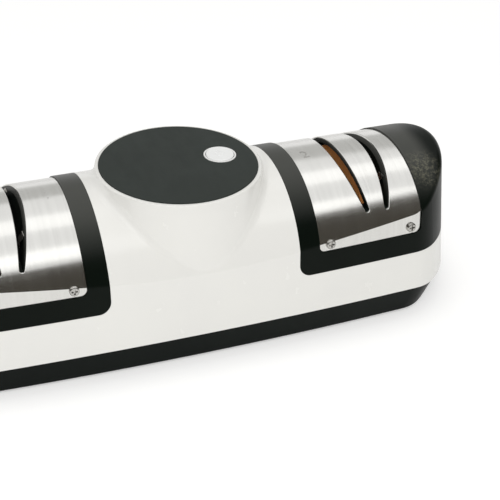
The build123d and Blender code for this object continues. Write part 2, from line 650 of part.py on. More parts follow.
with BuildPart() as upper_shell:
    add(body_form(0, PARTING_Z, DISC_TOP_Z))
    add(hub_form(AXIS_Z, HUB_TOP_Z, 0, HUB_RIM_EDGE_RADIUS))
    hub_foot = [
        edge
        for edge in upper_shell.edges()
        if AXIS_Z < edge.center().Z < DECK_LOW_Z and edge.bounding_box().size.Y > HUB_RIM_RADIUS / 2
        and abs(edge.center().X) < COVER_X0
    ]
    fillet(hub_foot, HUB_BLEND)
    add(station_zone(SEAM), mode=Mode.SUBTRACT)
    add(mirror(station_zone(SEAM), about=Plane.YZ, mode=Mode.PRIVATE), mode=Mode.SUBTRACT)
    add(body_form(WALL, PARTING_Z - WALL, DECK_LOW_Z), mode=Mode.SUBTRACT)
    add(hub_form(AXIS_Z, DECK_LOW_Z, WALL), mode=Mode.SUBTRACT)
    add(uprights([(0, 0)], DECK_TOP_Z, DISC_TOP_Z, DISC_RADIUS + SEAM), mode=Mode.SUBTRACT)
    add(body_bosses.part)
    add(uprights(board_screw_places, BOARD_TOP_Z, DECK_TOP_Z, BOARD_POST_RADIUS))
    with Locations(*facing_down(four_ways(BODY_SCREW_PLACES), POST_TOP_Z)):
        Hole(radius=SCREW_HOLE_RADIUS, depth=BASE_SCREW_LENGTH)
    with Locations(*facing_down(board_screw_places, BOARD_TOP_Z)):
        Hole(radius=SCREW_HOLE_RADIUS, depth=BOARD_SCREW_LENGTH)
    add(uprights([(BUTTON_X, BUTTON_Y)], DECK_LOW_Z, DISC_TOP_Z, BEZEL_RADIUS + SEAM), mode=Mode.SUBTRACT)
    with BuildSketch(Plane.XY.offset(DECK_TOP_Z)):
        with Locations(*INDICATOR_PLACES):
            Rectangle(INDICATOR_LENGTH, INDICATOR_WIDTH)
    extrude(amount=-DECK_THICKNESS, mode=Mode.SUBTRACT)
    with BuildSketch(Plane.XZ):
        with Locations((0, JACK_Z)):
            Circle(JACK_NOSE_RADIUS + FIT_GAP)
    extrude(amount=-FAR, mode=Mode.SUBTRACT)
keep(upper_shell, "upper_shell")

# ---------------------------------------------------------------- the stations
cover_screw_planes = [
    side_plane(x, face, COVER_SCREW_Z, COVER_SINK)
    for x in (COVER_X0 + COVER_SCREW_INSET_X, COVER_X1 - COVER_SCREW_INSET_X)
    for face in (-1, 1)
]
housing_posts = both_faces(HOUSING_SCREW_PLACES)

with BuildPart() as housing_bosses:
    add(uprights(housing_posts, POST_TOP_Z, ARCH_CREST_Z, POST_RADIUS))
    with Locations(*cover_screw_planes):
        Cylinder(COVER_BOSS_RADIUS, COVER_BOSS_DEPTH, align=(Align.CENTER, Align.CENTER, Align.MAX))
    add(body_form(WALL / 2, PARTING_Z, DISC_TOP_Z), mode=Mode.INTERSECT)

# the lip that stands behind the white body
with BuildPart() as housing_lip:
    add(body_band(LIP_INSET, LIP_INSET + LIP_THICKNESS, PARTING_Z, DISC_TOP_Z))
    add(station_zone(LIP_DEPTH), mode=Mode.INTERSECT)
    add(station_zone(-LIP_DEPTH), mode=Mode.SUBTRACT)

with BuildPart() as cover_recess:
    add(cover_zone(COVER_GAP))
    add(body_form(RECESS_INSET, PARTING_Z, DISC_TOP_Z), mode=Mode.SUBTRACT)

with BuildPart() as station_housing:
    add(station_form())
    add(body_form(HOUSING_INNER, PARTING_Z, DISC_TOP_Z), mode=Mode.SUBTRACT)
    add(housing_lip.part)
    add(housing_bosses.part)
    add(cover_recess.part, mode=Mode.SUBTRACT)
    add(slot_cutter(SLOT_LEDGE), mode=Mode.SUBTRACT)
    with Locations(*cover_screw_planes):
        Hole(radius=SCREW_HOLE_RADIUS, depth=COVER_BOSS_DEPTH)
    with Locations(*facing_down(housing_posts, POST_TOP_Z)):
        Hole(radius=SCREW_HOLE_RADIUS, depth=BASE_SCREW_LENGTH)
keep_pair(station_housing, "station_housing")

with BuildPart() as blade_cover:
    add(body_form(COVER_SINK, PARTING_Z, DISC_TOP_Z))
    add(cover_zone(0), mode=Mode.INTERSECT)
    add(body_form(COVER_INNER, PARTING_Z, DISC_TOP_Z), mode=Mode.SUBTRACT)
    add(slot_cutter(0), mode=Mode.SUBTRACT)
    slot_rims = blade_cover.faces().sort_by(SortBy.AREA)[-1].inner_wires()
    fillet([edge for rim in slot_rims for edge in rim.edges()], COVER_EDGE_RADIUS)
    with Locations(*cover_screw_planes):
        Hole(radius=SCREW_HOLE_RADIUS, depth=COVER_INNER)
keep_pair(blade_cover, "blade_cover")

cover_screw = pan_head_screw(COVER_SCREW_LENGTH)
with BuildPart() as cover_screws:
    with Locations(*cover_screw_planes):
        add(cover_screw)
keep_pair(cover_screws, "cover_screws")


def guide_x(side, foot, slope, z, aside):
    """Where a face of the blade guide stands at a height, moved aside from the slot's edge."""
    return SLOT_CENTRE_X + side * (slot_edge(foot, slope, z) + aside)


guide_low_z = SLOT_FLOOR_Z + SLOT_LEDGE - BLADE_GUIDE_SHELF
guide_floor_z = SLOT_FLOOR_Z + SLOT_LEDGE
with BuildPart() as blade_guide:
    # the sloping plates that a blade lies against
    with BuildSketch(Plane.XZ):
        for side in (-1, 1):
            with BuildLine():
                Polyline(*[
                    (guide_x(side, SLOT_OUTER_FOOT, SLOT_OUTER_SLOPE, z, aside - SLOT_LEDGE), z)
                    for z, aside in (
                        (guide_low_z, 0), (guide_floor_z, 0), (ARCH_CREST_Z, 0),
                        (ARCH_CREST_Z, BLADE_GUIDE_WALL), (guide_floor_z, BLADE_GUIDE_WALL),
                        (guide_low_z, BLADE_GUIDE_WALL),
                    )
                ], close=True)
            make_face()
        # the shelf that joins them under the blades
        with Locations((SLOT_CENTRE_X, (guide_low_z + guide_floor_z) / 2)):
            Rectangle(2 * SLOT_OUTER_FOOT, BLADE_GUIDE_SHELF)
    extrude(amount=FAR, both=True)
    add(on_axis(WHEEL_X0 - WHEEL_CLEARANCE, WHEEL_X1 + WHEEL_CLEARANCE, WHEEL_RADIUS + WHEEL_CLEARANCE),
        mode=Mode.SUBTRACT)
    add(body_form(HOUSING_INNER + RUNNING_GAP, PARTING_Z, DISC_TOP_Z), mode=Mode.INTERSECT)
keep_pair(blade_guide, "blade_guide")

spring_low_z = guide_floor_z + SPRING_FOOT
spring_stops = [
    (spring_low_z, 0),
    (spring_low_z + SPRING_RISE / 2, SPRING_BULGE),
    (spring_low_z + SPRING_RISE, 0),
]
with BuildPart() as guide_springs:
    for side in (-1, 1):
        face_points = [
            (guide_x(side, SLOT_OUTER_FOOT, SLOT_OUTER_SLOPE, z, -SLOT_LEDGE - RUNNING_GAP - bulge), z)
            for z, bulge in spring_stops
        ]
        back_points = [(x - side * SPRING_THICKNESS, z) for x, z in reversed(face_points)]
        for y in (-SPRING_Y, SPRING_Y):
            with BuildSketch(Plane.XZ.offset(-y)):
                with BuildLine():
                    Polyline(*face_points, *back_points, close=True)
                make_face()
            extrude(amount=SPRING_WIDTH / 2, both=True)
keep_pair(guide_springs, "guide_springs")

# ---------------------------------------------------------------- the disc and the button
with BuildPart() as control_disc:
    add(uprights([(0, 0)], DECK_TOP_Z, DISC_TOP_Z, DISC_RADIUS))
    fillet(control_disc.edges().group_by(Axis.Z)[-1], DISC_EDGE_RADIUS)
    add(uprights([(BUTTON_X, BUTTON_Y)], DECK_TOP_Z, DISC_TOP_Z, BEZEL_RADIUS + SEAM), mode=Mode.SUBTRACT)
    add(uprights([(BUTTON_X, BUTTON_Y)], DECK_TOP_Z, DECK_TOP_Z + BEZEL_FLANGE_THICKNESS + SEAM,
                 BEZEL_FLANGE_RADIUS + SEAM), mode=Mode.SUBTRACT)
    with BuildSketch(Plane.XY.offset(DECK_TOP_Z)):
        with Locations(*INDICATOR_PLACES):
            Rectangle(INDICATOR_LENGTH, INDICATOR_WIDTH)
    extrude(amount=DISC_THICKNESS - INDICATOR_SKIN, mode=Mode.SUBTRACT)
keep(control_disc, "control_disc")

with BuildPart() as button_bezel:
    add(uprights([(BUTTON_X, BUTTON_Y)], DECK_LOW_Z, DISC_TOP_Z + BEZEL_PROUD, BEZEL_RADIUS))
    add(uprights([(BUTTON_X, BUTTON_Y)], DECK_TOP_Z, DECK_TOP_Z + BEZEL_FLANGE_THICKNESS,
                 BEZEL_FLANGE_RADIUS))
    add(uprights([(BUTTON_X, BUTTON_Y)], BEZEL_FLOOR_TOP_Z, DISC_TOP_Z + BEZEL_PROUD,
                 BEZEL_RADIUS - BEZEL_WALL), mode=Mode.SUBTRACT)
    add(uprights([(BUTTON_X, BUTTON_Y)], DECK_LOW_Z, BEZEL_FLOOR_TOP_Z, STEM_RADIUS + STEM_GAP),
        mode=Mode.SUBTRACT)
    fillet(button_bezel.edges().group_by(Axis.Z)[-1], BEZEL_EDGE_RADIUS)
keep(button_bezel, "button_bezel")

with BuildPart() as power_button:
    add(uprights([(BUTTON_X, BUTTON_Y)], BUTTON_LOW_Z, BUTTON_TOP_Z, BUTTON_RADIUS))
    fillet(power_button.edges().group_by(Axis.Z)[-1], BUTTON_EDGE_RADIUS)
    add(uprights([(BUTTON_X, BUTTON_Y)], BUTTON_LOW_Z, BUTTON_TOP_Z - BUTTON_CAP_WALL,
                 BUTTON_RADIUS - BUTTON_CAP_WALL), mode=Mode.SUBTRACT)
    add(uprights([(BUTTON_X, BUTTON_Y)], CLIP_LOW_Z, BUTTON_TOP_Z - BUTTON_CAP_WALL, STEM_RADIUS))
    add(uprights([(BUTTON_X, BUTTON_Y)], CLIP_LOW_Z, CLIP_TOP_Z, STEM_CLIP_RADIUS))
    # a ring that is open at the rear, and the stroke that stands in the opening
    with BuildSketch(Plane(origin=(BUTTON_X, BUTTON_Y, BUTTON_TOP_Z))):
        Circle(SYMBOL_RADIUS)
        Circle(SYMBOL_RADIUS - SYMBOL_LINE, mode=Mode.SUBTRACT)
        with Locations((0, SYMBOL_RADIUS)):
            Rectangle(SYMBOL_OPENING, SYMBOL_RADIUS, mode=Mode.SUBTRACT)
            SlotOverall(SYMBOL_RADIUS, SYMBOL_LINE, rotation=90)
    extrude(amount=-SYMBOL_DEPTH, mode=Mode.SUBTRACT)
keep(power_button, "power_button")

with BuildPart() as switch_plunger:
    add(uprights([(BUTTON_X, BUTTON_Y)], SWITCH_TOP_Z - PLUNGER_DEPTH, CLIP_LOW_Z, PLUNGER_RADIUS))
keep(switch_plunger, "switch_plunger")

# ---------------------------------------------------------------- the control board under the disc
with BuildPart() as control_board:
    with BuildSketch(Plane.XY.offset(BOARD_LOW_Z)):
        with Locations((BOARD_X, 0)):
            RectangleRounded(BOARD_LENGTH, BOARD_WIDTH, BOARD_POST_RADIUS)
        with Locations(*board_screw_places):
            Circle(SCREW_HOLE_RADIUS, mode=Mode.SUBTRACT)
    extrude(amount=BOARD_THICKNESS)
keep(control_board, "control_board")

board_screw = pan_head_screw(BOARD_SCREW_LENGTH)
with BuildPart() as board_screws:
    with Locations(*facing_down(board_screw_places, BOARD_LOW_Z)):
        add(board_screw)
keep(board_screws, "board_screws")

with BuildPart() as button_switch:
    with BuildSketch(Plane.XY.offset(BOARD_TOP_Z)):
        with Locations((BUTTON_X, BUTTON_Y)):
            RectangleRounded(SWITCH_WIDTH, SWITCH_WIDTH, WALL / 2)
    extrude(amount=SWITCH_HEIGHT)
    add(uprights([(BUTTON_X, BUTTON_Y)], BOARD_TOP_Z + SWITCH_FLOOR, SWITCH_TOP_Z,
                 PLUNGER_RADIUS + BUTTON_GAP), mode=Mode.SUBTRACT)
keep(button_switch, "button_switch")

with BuildPart() as indicator_leds:
    with BuildSketch(Plane.XY.offset(BOARD_TOP_Z)):
        with Locations(*INDICATOR_PLACES):
            Rectangle(LED_LENGTH, LED_WIDTH)
    extrude(amount=LED_HEIGHT)
keep(indicator_leds, "indicator_leds")

# one clear moulding: a prong under each indicator, joined by a web below the deck
with BuildPart() as indicator_light_guide:
    with BuildSketch(Plane.XY.offset(BOARD_TOP_Z + LED_HEIGHT + FIT_GAP)):
        with Locations(*INDICATOR_PLACES):
            Rectangle(INDICATOR_LENGTH - 2 * FIT_GAP, INDICATOR_WIDTH - 2 * FIT_GAP)
    extrude(amount=DISC_TOP_Z - INDICATOR_SKIN - BOARD_TOP_Z - LED_HEIGHT - 2 * FIT_GAP)
    with BuildSketch(Plane.XY.offset(DECK_LOW_Z - SEAM)):
        with Locations((INDICATOR_X, 0)):
            Rectangle(INDICATOR_LENGTH, INDICATOR_COUNT * INDICATOR_PITCH)
    extrude(amount=-GUIDE_WEB)
keep(indicator_light_guide, "indicator_light_guide")

with BuildPart() as board_capacitor:
    add(uprights([(CAPACITOR_X, CAPACITOR_Y)], BOARD_LOW_Z - CAPACITOR_HEIGHT, BOARD_LOW_Z,
                 CAPACITOR_RADIUS))
    fillet(board_capacitor.edges().group_by(Axis.Z)[0], CAPACITOR_EDGE_RADIUS)
keep(board_capacitor, "board_capacitor")

with BuildPart() as board_connectors:
    with BuildSketch(Plane.XY.offset(PLUG_LOW_Z)):
        with Locations((JACK_PLUG_X, JACK_PLUG_Y)):
            Rectangle(CONNECTOR_LENGTH, CONNECTOR_WIDTH)
        with Locations((MOTOR_PLUG_X, 0)):
            Rectangle(CONNECTOR_WIDTH, CONNECTOR_LENGTH)
    extrude(amount=CONNECTOR_HEIGHT)
keep(board_connectors, "board_connectors")

# ---------------------------------------------------------------- the power inlet at the rear
jack_nose_y = side_y(0, JACK_Z + JACK_NOSE_RADIUS) - JACK_NOSE_SINK
with BuildPart() as dc_jack:
    add(block(-JACK_BLOCK_WIDTH / 2, JACK_BLOCK_WIDTH / 2, jack_front_y, jack_rear_y,
              jack_low_z, JACK_Z + JACK_BLOCK_HEIGHT / 2))
    with BuildSketch(Plane.XZ.offset(-jack_nose_y)):
        with Locations((0, JACK_Z)):
            Circle(JACK_NOSE_RADIUS)
    extrude(amount=jack_nose_y - jack_rear_y)
    with BuildSketch(Plane.XZ.offset(-jack_nose_y)):
        with Locations((0, JACK_Z)):
            Circle(JACK_BORE_RADIUS)
            Circle(JACK_PIN_RADIUS, mode=Mode.SUBTRACT)
    extrude(amount=JACK_BORE_DEPTH, mode=Mode.SUBTRACT)
keep(dc_jack, "dc_jack")

lead_turn_z = BOARD_LOW_Z - LEAD_DROP
with BuildPart() as jack_leads:
    for side in (-1, 1):
        x = JACK_PLUG_X + side * LEAD_SPACING / 2
        add(lead(
            (x, jack_front_y, JACK_Z),
            (x, jack_front_y - 2 * LEAD_SPACING, JACK_Z),
            (x, jack_front_y - 2 * LEAD_SPACING, lead_turn_z),
            (x, JACK_PLUG_Y, PLUG_LOW_Z - 2 * LEAD_SPACING),
            (x, JACK_PLUG_Y, PLUG_LOW_Z),
        ))
keep(jack_leads, "jack_leads")

with BuildPart() as motor_leads:
    for face in (-1, 1):
        y = face * LEAD_SPACING / 2
        add(lead(
            (MOTOR_HALF_LENGTH, y, AXIS_Z + CAN_INNER_RADIUS - LEAD_SPACING),
            (MOTOR_PLUG_X, y, AXIS_Z + CAN_INNER_RADIUS - LEAD_SPACING),
            (MOTOR_PLUG_X, y, PLUG_LOW_Z),
        ))
keep(motor_leads, "motor_leads")

# ---------------------------------------------------------------- the motor
with BuildPart() as motor_can:
    add(on_axis(-CAN_HALF_LENGTH, CAN_HALF_LENGTH, MOTOR_RADIUS, CAN_INNER_RADIUS))
keep(motor_can, "motor_can")

with BuildPart() as motor_end_bells:
    for side in (-1, 1):
        add(on_axis(*sorted((side * CAN_HALF_LENGTH, side * MOTOR_HALF_LENGTH)), MOTOR_RADIUS,
                    MOTOR_BUSHING_RADIUS + RUNNING_GAP))
keep(motor_end_bells, "motor_end_bells")

with BuildPart() as motor_bushings:
    for side in (-1, 1):
        add(on_axis(*sorted((side * CAN_HALF_LENGTH, side * (MOTOR_HALF_LENGTH + MOTOR_BUSHING_OVERHANG))),
                    MOTOR_BUSHING_RADIUS, MOTOR_SHAFT_RADIUS + RUNNING_GAP))
keep(motor_bushings, "motor_bushings")

with BuildPart() as motor_magnets:
    with BuildSketch(Plane.YZ.offset(-MAGNET_HALF_LENGTH)):
        with Locations((0, AXIS_Z)):
            Circle(CAN_INNER_RADIUS - RUNNING_GAP)
            Circle(CAN_INNER_RADIUS - MAGNET_THICKNESS, mode=Mode.SUBTRACT)
            Rectangle(MAGNET_SPLIT, 2 * CAN_INNER_RADIUS, mode=Mode.SUBTRACT)
    extrude(amount=2 * MAGNET_HALF_LENGTH)
keep(motor_magnets, "motor_magnets")

with BuildPart() as motor_armature:
    with BuildSketch(Plane.YZ.offset(-CORE_HALF_LENGTH)):
        with Locations((0, AXIS_Z)):
            Circle(CORE_RADIUS)
            with PolarLocations(CORE_RADIUS - CORE_SLOT_DEPTH / 2, CORE_SLOTS):
                Rectangle(CORE_SLOT_DEPTH, CORE_SLOT_WIDTH, mode=Mode.SUBTRACT)
    extrude(amount=2 * CORE_HALF_LENGTH)
    add(on_axis(-CORE_HALF_LENGTH - WINDING_LENGTH, CORE_HALF_LENGTH + WINDING_LENGTH, WINDING_RADIUS))
    add(on_axis(0, CAN_HALF_LENGTH - RUNNING_GAP, COMMUTATOR_RADIUS))
    add(on_axis(-MOTOR_HALF_LENGTH, MOTOR_HALF_LENGTH, MOTOR_SHAFT_RADIUS), mode=Mode.SUBTRACT)
keep(motor_armature, "motor_armature")

with BuildPart() as motor_shaft:
    add(on_axis(-MOTOR_SHAFT_END_X, MOTOR_SHAFT_END_X, MOTOR_SHAFT_RADIUS))
    chamfer(motor_shaft.edges(), SHAFT_CHAMFER)
keep(motor_shaft, "motor_shaft")

with BuildPart() as motor_brushes:
    for face in (-1, 1):
        add(block(
            CAN_HALF_LENGTH - BRUSH_WIDTH, CAN_HALF_LENGTH,
            *sorted((face * (COMMUTATOR_RADIUS + FIT_GAP), face * (COMMUTATOR_RADIUS + BRUSH_LENGTH))),
            AXIS_Z - BRUSH_WIDTH / 2, AXIS_Z + BRUSH_WIDTH / 2,
        ))
keep(motor_brushes, "motor_brushes")

with BuildPart() as motor_mount_rings:
    for side in (-1, 1):
        add(on_axis(side * CLAMP_X - CLAMP_WIDTH / 2, side * CLAMP_X + CLAMP_WIDTH / 2,
                    MOTOR_SEAT_RADIUS - RUNNING_GAP, MOTOR_RADIUS + RUNNING_GAP))
keep(motor_mount_rings, "motor_mount_rings")

with BuildPart() as motor_clamps:
    for side in (-1, 1):
        add(strap(side * CLAMP_X, CLAMP_WIDTH, MOTOR_SEAT_RADIUS, CLAMP_HALF_WIDTH, CLAMP_EAR_Y))
keep(motor_clamps, "motor_clamps")

clamp_screw = pan_head_screw(CLAMP_SCREW_LENGTH)
with BuildPart() as motor_clamp_screws:
    with Locations(*facing_up(motor_ears, AXIS_Z + CLAMP_THICKNESS)):
        add(clamp_screw)
keep(motor_clamp_screws, "motor_clamp_screws")

# ---------------------------------------------------------------- the drive to each wheel
with BuildPart() as shaft_coupling:
    add(on_axis(COUPLING_START_X, COUPLING_END_X, COUPLING_RADIUS, MOTOR_SHAFT_RADIUS + RUNNING_GAP))
    chamfer(shaft_coupling.edges().filter_by(GeomType.CIRCLE).group_by(SortBy.RADIUS)[-1], SHAFT_CHAMFER)
    add(on_axis((MOTOR_SHAFT_END_X + SHAFT_START_X) / 2, COUPLING_END_X, SHAFT_RADIUS + RUNNING_GAP),
        mode=Mode.SUBTRACT)
keep_pair(shaft_coupling, "shaft_coupling")

with BuildPart() as wheel_shaft:
    add(on_axis(SHAFT_START_X, SHAFT_END_X, SHAFT_RADIUS))
    chamfer(wheel_shaft.edges(), SHAFT_CHAMFER)
keep_pair(wheel_shaft, "wheel_shaft")

with BuildPart() as shaft_bushings:
    for x in PEDESTAL_X:
        add(on_axis(x - BUSHING_LENGTH / 2, x + BUSHING_LENGTH / 2, BUSHING_RADIUS - RUNNING_GAP,
                    SHAFT_RADIUS + RUNNING_GAP))
keep_pair(shaft_bushings, "shaft_bushings")

with BuildPart() as bearing_caps:
    for x in PEDESTAL_X:
        add(strap(x, PEDESTAL_THICKNESS, BUSHING_RADIUS, PEDESTAL_HALF_WIDTH, PEDESTAL_EAR_Y))
keep_pair(bearing_caps, "bearing_caps")

with BuildPart() as bearing_cap_screws:
    with Locations(*facing_up(pedestal_ears, AXIS_Z + CLAMP_THICKNESS)):
        add(clamp_screw)
keep_pair(bearing_cap_screws, "bearing_cap_screws")

with BuildPart() as grinding_wheel:
    add(on_axis(WHEEL_X0, WHEEL_X1, WHEEL_RADIUS, SHAFT_RADIUS + RUNNING_GAP))
    wheel_rims = grinding_wheel.edges().filter_by(GeomType.CIRCLE).group_by(SortBy.RADIUS)[-1]
    chamfer(wheel_rims, WHEEL_CHAMFER)
keep_pair(grinding_wheel, "grinding_wheel")

with BuildPart() as wheel_flanges:
    add(on_axis(WHEEL_X0 - FLANGE_THICKNESS, WHEEL_X0, FLANGE_RADIUS, SHAFT_RADIUS + RUNNING_GAP))
    add(on_axis(WHEEL_X1, WHEEL_X1 + FLANGE_THICKNESS, FLANGE_RADIUS, SHAFT_RADIUS + RUNNING_GAP))
keep_pair(wheel_flanges, "wheel_flanges")

with BuildPart() as wheel_nut:
    with BuildSketch(Plane.YZ.offset(WHEEL_X1 + FLANGE_THICKNESS)):
        with Locations((0, AXIS_Z)):
            RegularPolygon(NUT_RADIUS, 6)
            Circle(SHAFT_RADIUS + RUNNING_GAP, mode=Mode.SUBTRACT)
    extrude(amount=NUT_THICKNESS)
keep_pair(wheel_nut, "wheel_nut")

# a magnet on the floor beside each wheel holds the steel dust
dust_magnet_x = WHEEL_X1 + DUST_MAGNET_ASIDE
with BuildPart() as dust_magnet:
    add(block(
        dust_magnet_x, dust_magnet_x + DUST_MAGNET_LENGTH,
        -DUST_MAGNET_WIDTH / 2, DUST_MAGNET_WIDTH / 2, FLOOR_Z, FLOOR_Z + DUST_MAGNET_HEIGHT,
    ))
keep_pair(dust_magnet, "dust_magnet")
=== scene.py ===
"""Finishes, small pieces and studio of an electric knife sharpener.

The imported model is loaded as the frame. Every CAD node gets a procedural finish, the numerals on
the covers are modelled here, and a plain studio is set around it all.
Lengths are metres, in the frame of the model: +X to the right, -Y to the front, +Z up.
"""

from __future__ import annotations

import logging
import math
from collections.abc import Mapping, Sequence
from dataclasses import dataclass
from enum import Enum

import bpy
from mathutils import Matrix, Vector


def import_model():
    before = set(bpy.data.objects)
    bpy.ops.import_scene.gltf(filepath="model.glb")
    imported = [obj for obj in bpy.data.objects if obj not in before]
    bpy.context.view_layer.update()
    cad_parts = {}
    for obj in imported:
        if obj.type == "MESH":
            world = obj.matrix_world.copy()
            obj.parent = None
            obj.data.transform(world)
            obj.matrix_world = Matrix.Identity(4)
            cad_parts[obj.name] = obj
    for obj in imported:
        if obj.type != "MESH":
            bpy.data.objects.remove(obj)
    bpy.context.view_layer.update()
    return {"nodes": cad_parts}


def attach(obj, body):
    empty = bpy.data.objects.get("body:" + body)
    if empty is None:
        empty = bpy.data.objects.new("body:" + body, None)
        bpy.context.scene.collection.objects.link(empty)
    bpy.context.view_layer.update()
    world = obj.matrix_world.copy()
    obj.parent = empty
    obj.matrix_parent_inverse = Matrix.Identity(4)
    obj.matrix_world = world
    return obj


LOG = logging.getLogger("sharpener")
MM = 0.001
Colour = tuple[float, float, float]
WHITE = (1.0, 1.0, 1.0, 1.0)
CAP_HEIGHT = 0.72  # height of a numeral as a share of its font's size
MIX_COLOURS = (6, 7)  # places of the two colours among the inputs of a Mix node
MIX_RESULT = 2


# ---------------------------------------------------------------- shader graph


class Wire:
    """A number socket that takes part in arithmetic by adding Math nodes."""

    def __init__(self, graph: Graph, socket: bpy.types.NodeSocket) -> None:
        """Wraps a socket.

        Args:
            graph: The graph that the socket is in.
            socket: The output socket.
        """
        self.graph = graph
        self.socket = socket

    def _math(self, operation: str, first: Wire | float, second: Wire | float) -> Wire:
        """Adds one Math node.

        Args:
            operation: Name of the node's operation.
            first: Left operand.
            second: Right operand.

        Returns:
            The node's result.
        """
        node = self.graph.node("ShaderNodeMath", {"operation": operation}, {0: first, 1: second})
        return Wire(self.graph, node.outputs[0])

    def __add__(self, other: Wire | float) -> Wire:
        """Sum."""
        return self._math("ADD", self, other)

    def __rsub__(self, other: float) -> Wire:
        """Difference from a number."""
        return self._math("SUBTRACT", other, self)

    def __mul__(self, other: Wire | float) -> Wire:
        """Product."""
        return self._math("MULTIPLY", self, other)

    def step(self, low: float, high: float) -> Wire:
        """Smooth step from 0 at low to 1 at high.

        Args:
            low: Value at which the step starts.
            high: Value at which the step ends.

        Returns:
            The step.
        """
        node = self.graph.node(
            "ShaderNodeMapRange",
            {"interpolation_type": "SMOOTHSTEP"},
            {"Value": self, "From Min": low, "From Max": high},
        )
        return Wire(self.graph, node.outputs[0])


class Graph:
    """Nodes of one material, world or light."""

    def __init__(self, tree: bpy.types.NodeTree) -> None:
        """Starts from an empty tree.

        Args:
            tree: The node tree to fill.
        """
        self.tree = tree
        tree.nodes.clear()

    def node(
        self,
        kind: str,
        settings: Mapping[str, object] | None = None,
        inputs: Mapping[str | int, object] | None = None,
    ) -> bpy.types.Node:
        """Adds a node.

        Args:
            kind: Type of the node.
            settings: Values of its properties.
            inputs: Value, wire or socket of each of its inputs, by name or place.

        Returns:
            The node.
        """
        made = self.tree.nodes.new(kind)
        for name, value in (settings or {}).items():
            setattr(made, name, value)
        for name, value in (inputs or {}).items():
            source = value.socket if isinstance(value, Wire) else value
            if isinstance(source, bpy.types.NodeSocket):
                self.tree.links.new(source, made.inputs[name])
            else:
                made.inputs[name].default_value = source
        return made

    def place(
        self, scale: Sequence[float] = (1, 1, 1), centre: Sequence[float] = (0, 0, 0)
    ) -> bpy.types.NodeSocket:
        """Object coordinates from a centre, stretched.

        Args:
            scale: Factor along each axis.
            centre: Point that becomes the origin.

        Returns:
            The coordinates.
        """
        coordinates = self.node("ShaderNodeTexCoord").outputs["Object"]
        shift = tuple(-c * s for c, s in zip(centre, scale))
        inputs = {"Vector": coordinates, "Location": shift, "Scale": scale}
        return self.node("ShaderNodeMapping", None, inputs).outputs[0]

    def noise(
        self, vector: bpy.types.NodeSocket, scale: float, detail: float, rough: float = 0.5
    ) -> Wire:
        """Noise between 0 and 1.

        Args:
            vector: Coordinates.
            scale: Waves per metre.
            detail: Octaves.
            rough: Share of the fine octaves.

        Returns:
            The noise.
        """
        inputs = {"Vector": vector, "Scale": scale, "Detail": detail, "Roughness": rough}
        return Wire(self, self.node("ShaderNodeTexNoise", None, inputs).outputs[0])

    def cells(self, vector: bpy.types.NodeSocket, scale: float) -> Wire:
        """Distance to the grains of a cell pattern.

        Args:
            vector: Coordinates.
            scale: Grains per metre.

        Returns:
            The distance.
        """
        inputs = {"Vector": vector, "Scale": scale}
        return Wire(self, self.node("ShaderNodeTexVoronoi", None, inputs).outputs["Distance"])

    @staticmethod
    def blend(wires: Sequence[Wire], shares: Sequence[float]) -> Wire:
        """Sum of wires by their shares.

        Args:
            wires: The wires.
            shares: Share of each.

        Returns:
            The sum.
        """
        total = wires[0] * shares[0]
        for wire, share in zip(wires[1:], shares[1:]):
            total = total + wire * share
        return total

    def vector_math(self, operation: str, *values: object) -> bpy.types.Node:
        """Adds one Vector Math node.

        Args:
            operation: Name of the node's operation.
            *values: Its operands.

        Returns:
            The node.
        """
        return self.node("ShaderNodeVectorMath", {"operation": operation}, dict(enumerate(values)))

    def parts(self, vector: bpy.types.NodeSocket) -> tuple[Wire, Wire, Wire]:
        """The three numbers of a vector.

        Args:
            vector: Coordinates.

        Returns:
            X, Y and Z.
        """
        node = self.node("ShaderNodeSeparateXYZ", None, {0: vector})
        along, across, upward = node.outputs
        return Wire(self, along), Wire(self, across), Wire(self, upward)

    def length(self, vector: bpy.types.NodeSocket) -> Wire:
        """Length of a vector.

        Args:
            vector: Coordinates.

        Returns:
            The length.
        """
        return Wire(self, self.vector_math("LENGTH", vector).outputs["Value"])

    def mix(self, factor: Wire, first: object, second: object) -> bpy.types.NodeSocket:
        """Mixes two colours.

        Args:
            factor: Share of the second colour.
            first: Colour or socket at 0.
            second: Colour or socket at 1.

        Returns:
            The mixed colour.
        """
        node = self.node("ShaderNodeMix", {"data_type": "RGBA"}, {0: factor})
        for place, value in zip(MIX_COLOURS, (first, second)):
            if isinstance(value, bpy.types.NodeSocket):
                self.tree.links.new(value, node.inputs[place])
            else:
                node.inputs[place].default_value = (*value, 1.0)
        return node.outputs[MIX_RESULT]

    def bump(self, height: Wire, distance: float) -> bpy.types.NodeSocket:
        """Bumps of a height.

        Args:
            height: Height between 0 and 1.
            distance: Depth of the bumps.

        Returns:
            The bent normal.
        """
        inputs = {"Height": height, "Distance": distance, "Strength": 1.0}
        return self.node("ShaderNodeBump", None, inputs).outputs[0]

    def surface(self, **inputs: object) -> None:
        """Adds the principled shader and the output of a material.

        Args:
            **inputs: Sockets of the shader, with underscores for spaces.
        """
        named = {name.replace("_", " "): value for name, value in inputs.items()}
        if isinstance(named["Base Color"], tuple):
            named["Base Color"] = (*named["Base Color"], 1.0)
        shader = self.node("ShaderNodeBsdfPrincipled", None, named)
        self.node("ShaderNodeOutputMaterial", None, {"Surface": shader.outputs[0]})


# ---------------------------------------------------------------- finishes

SOFT = (0.3, 0.7)  # range of a noise over which one tone goes softly into the other


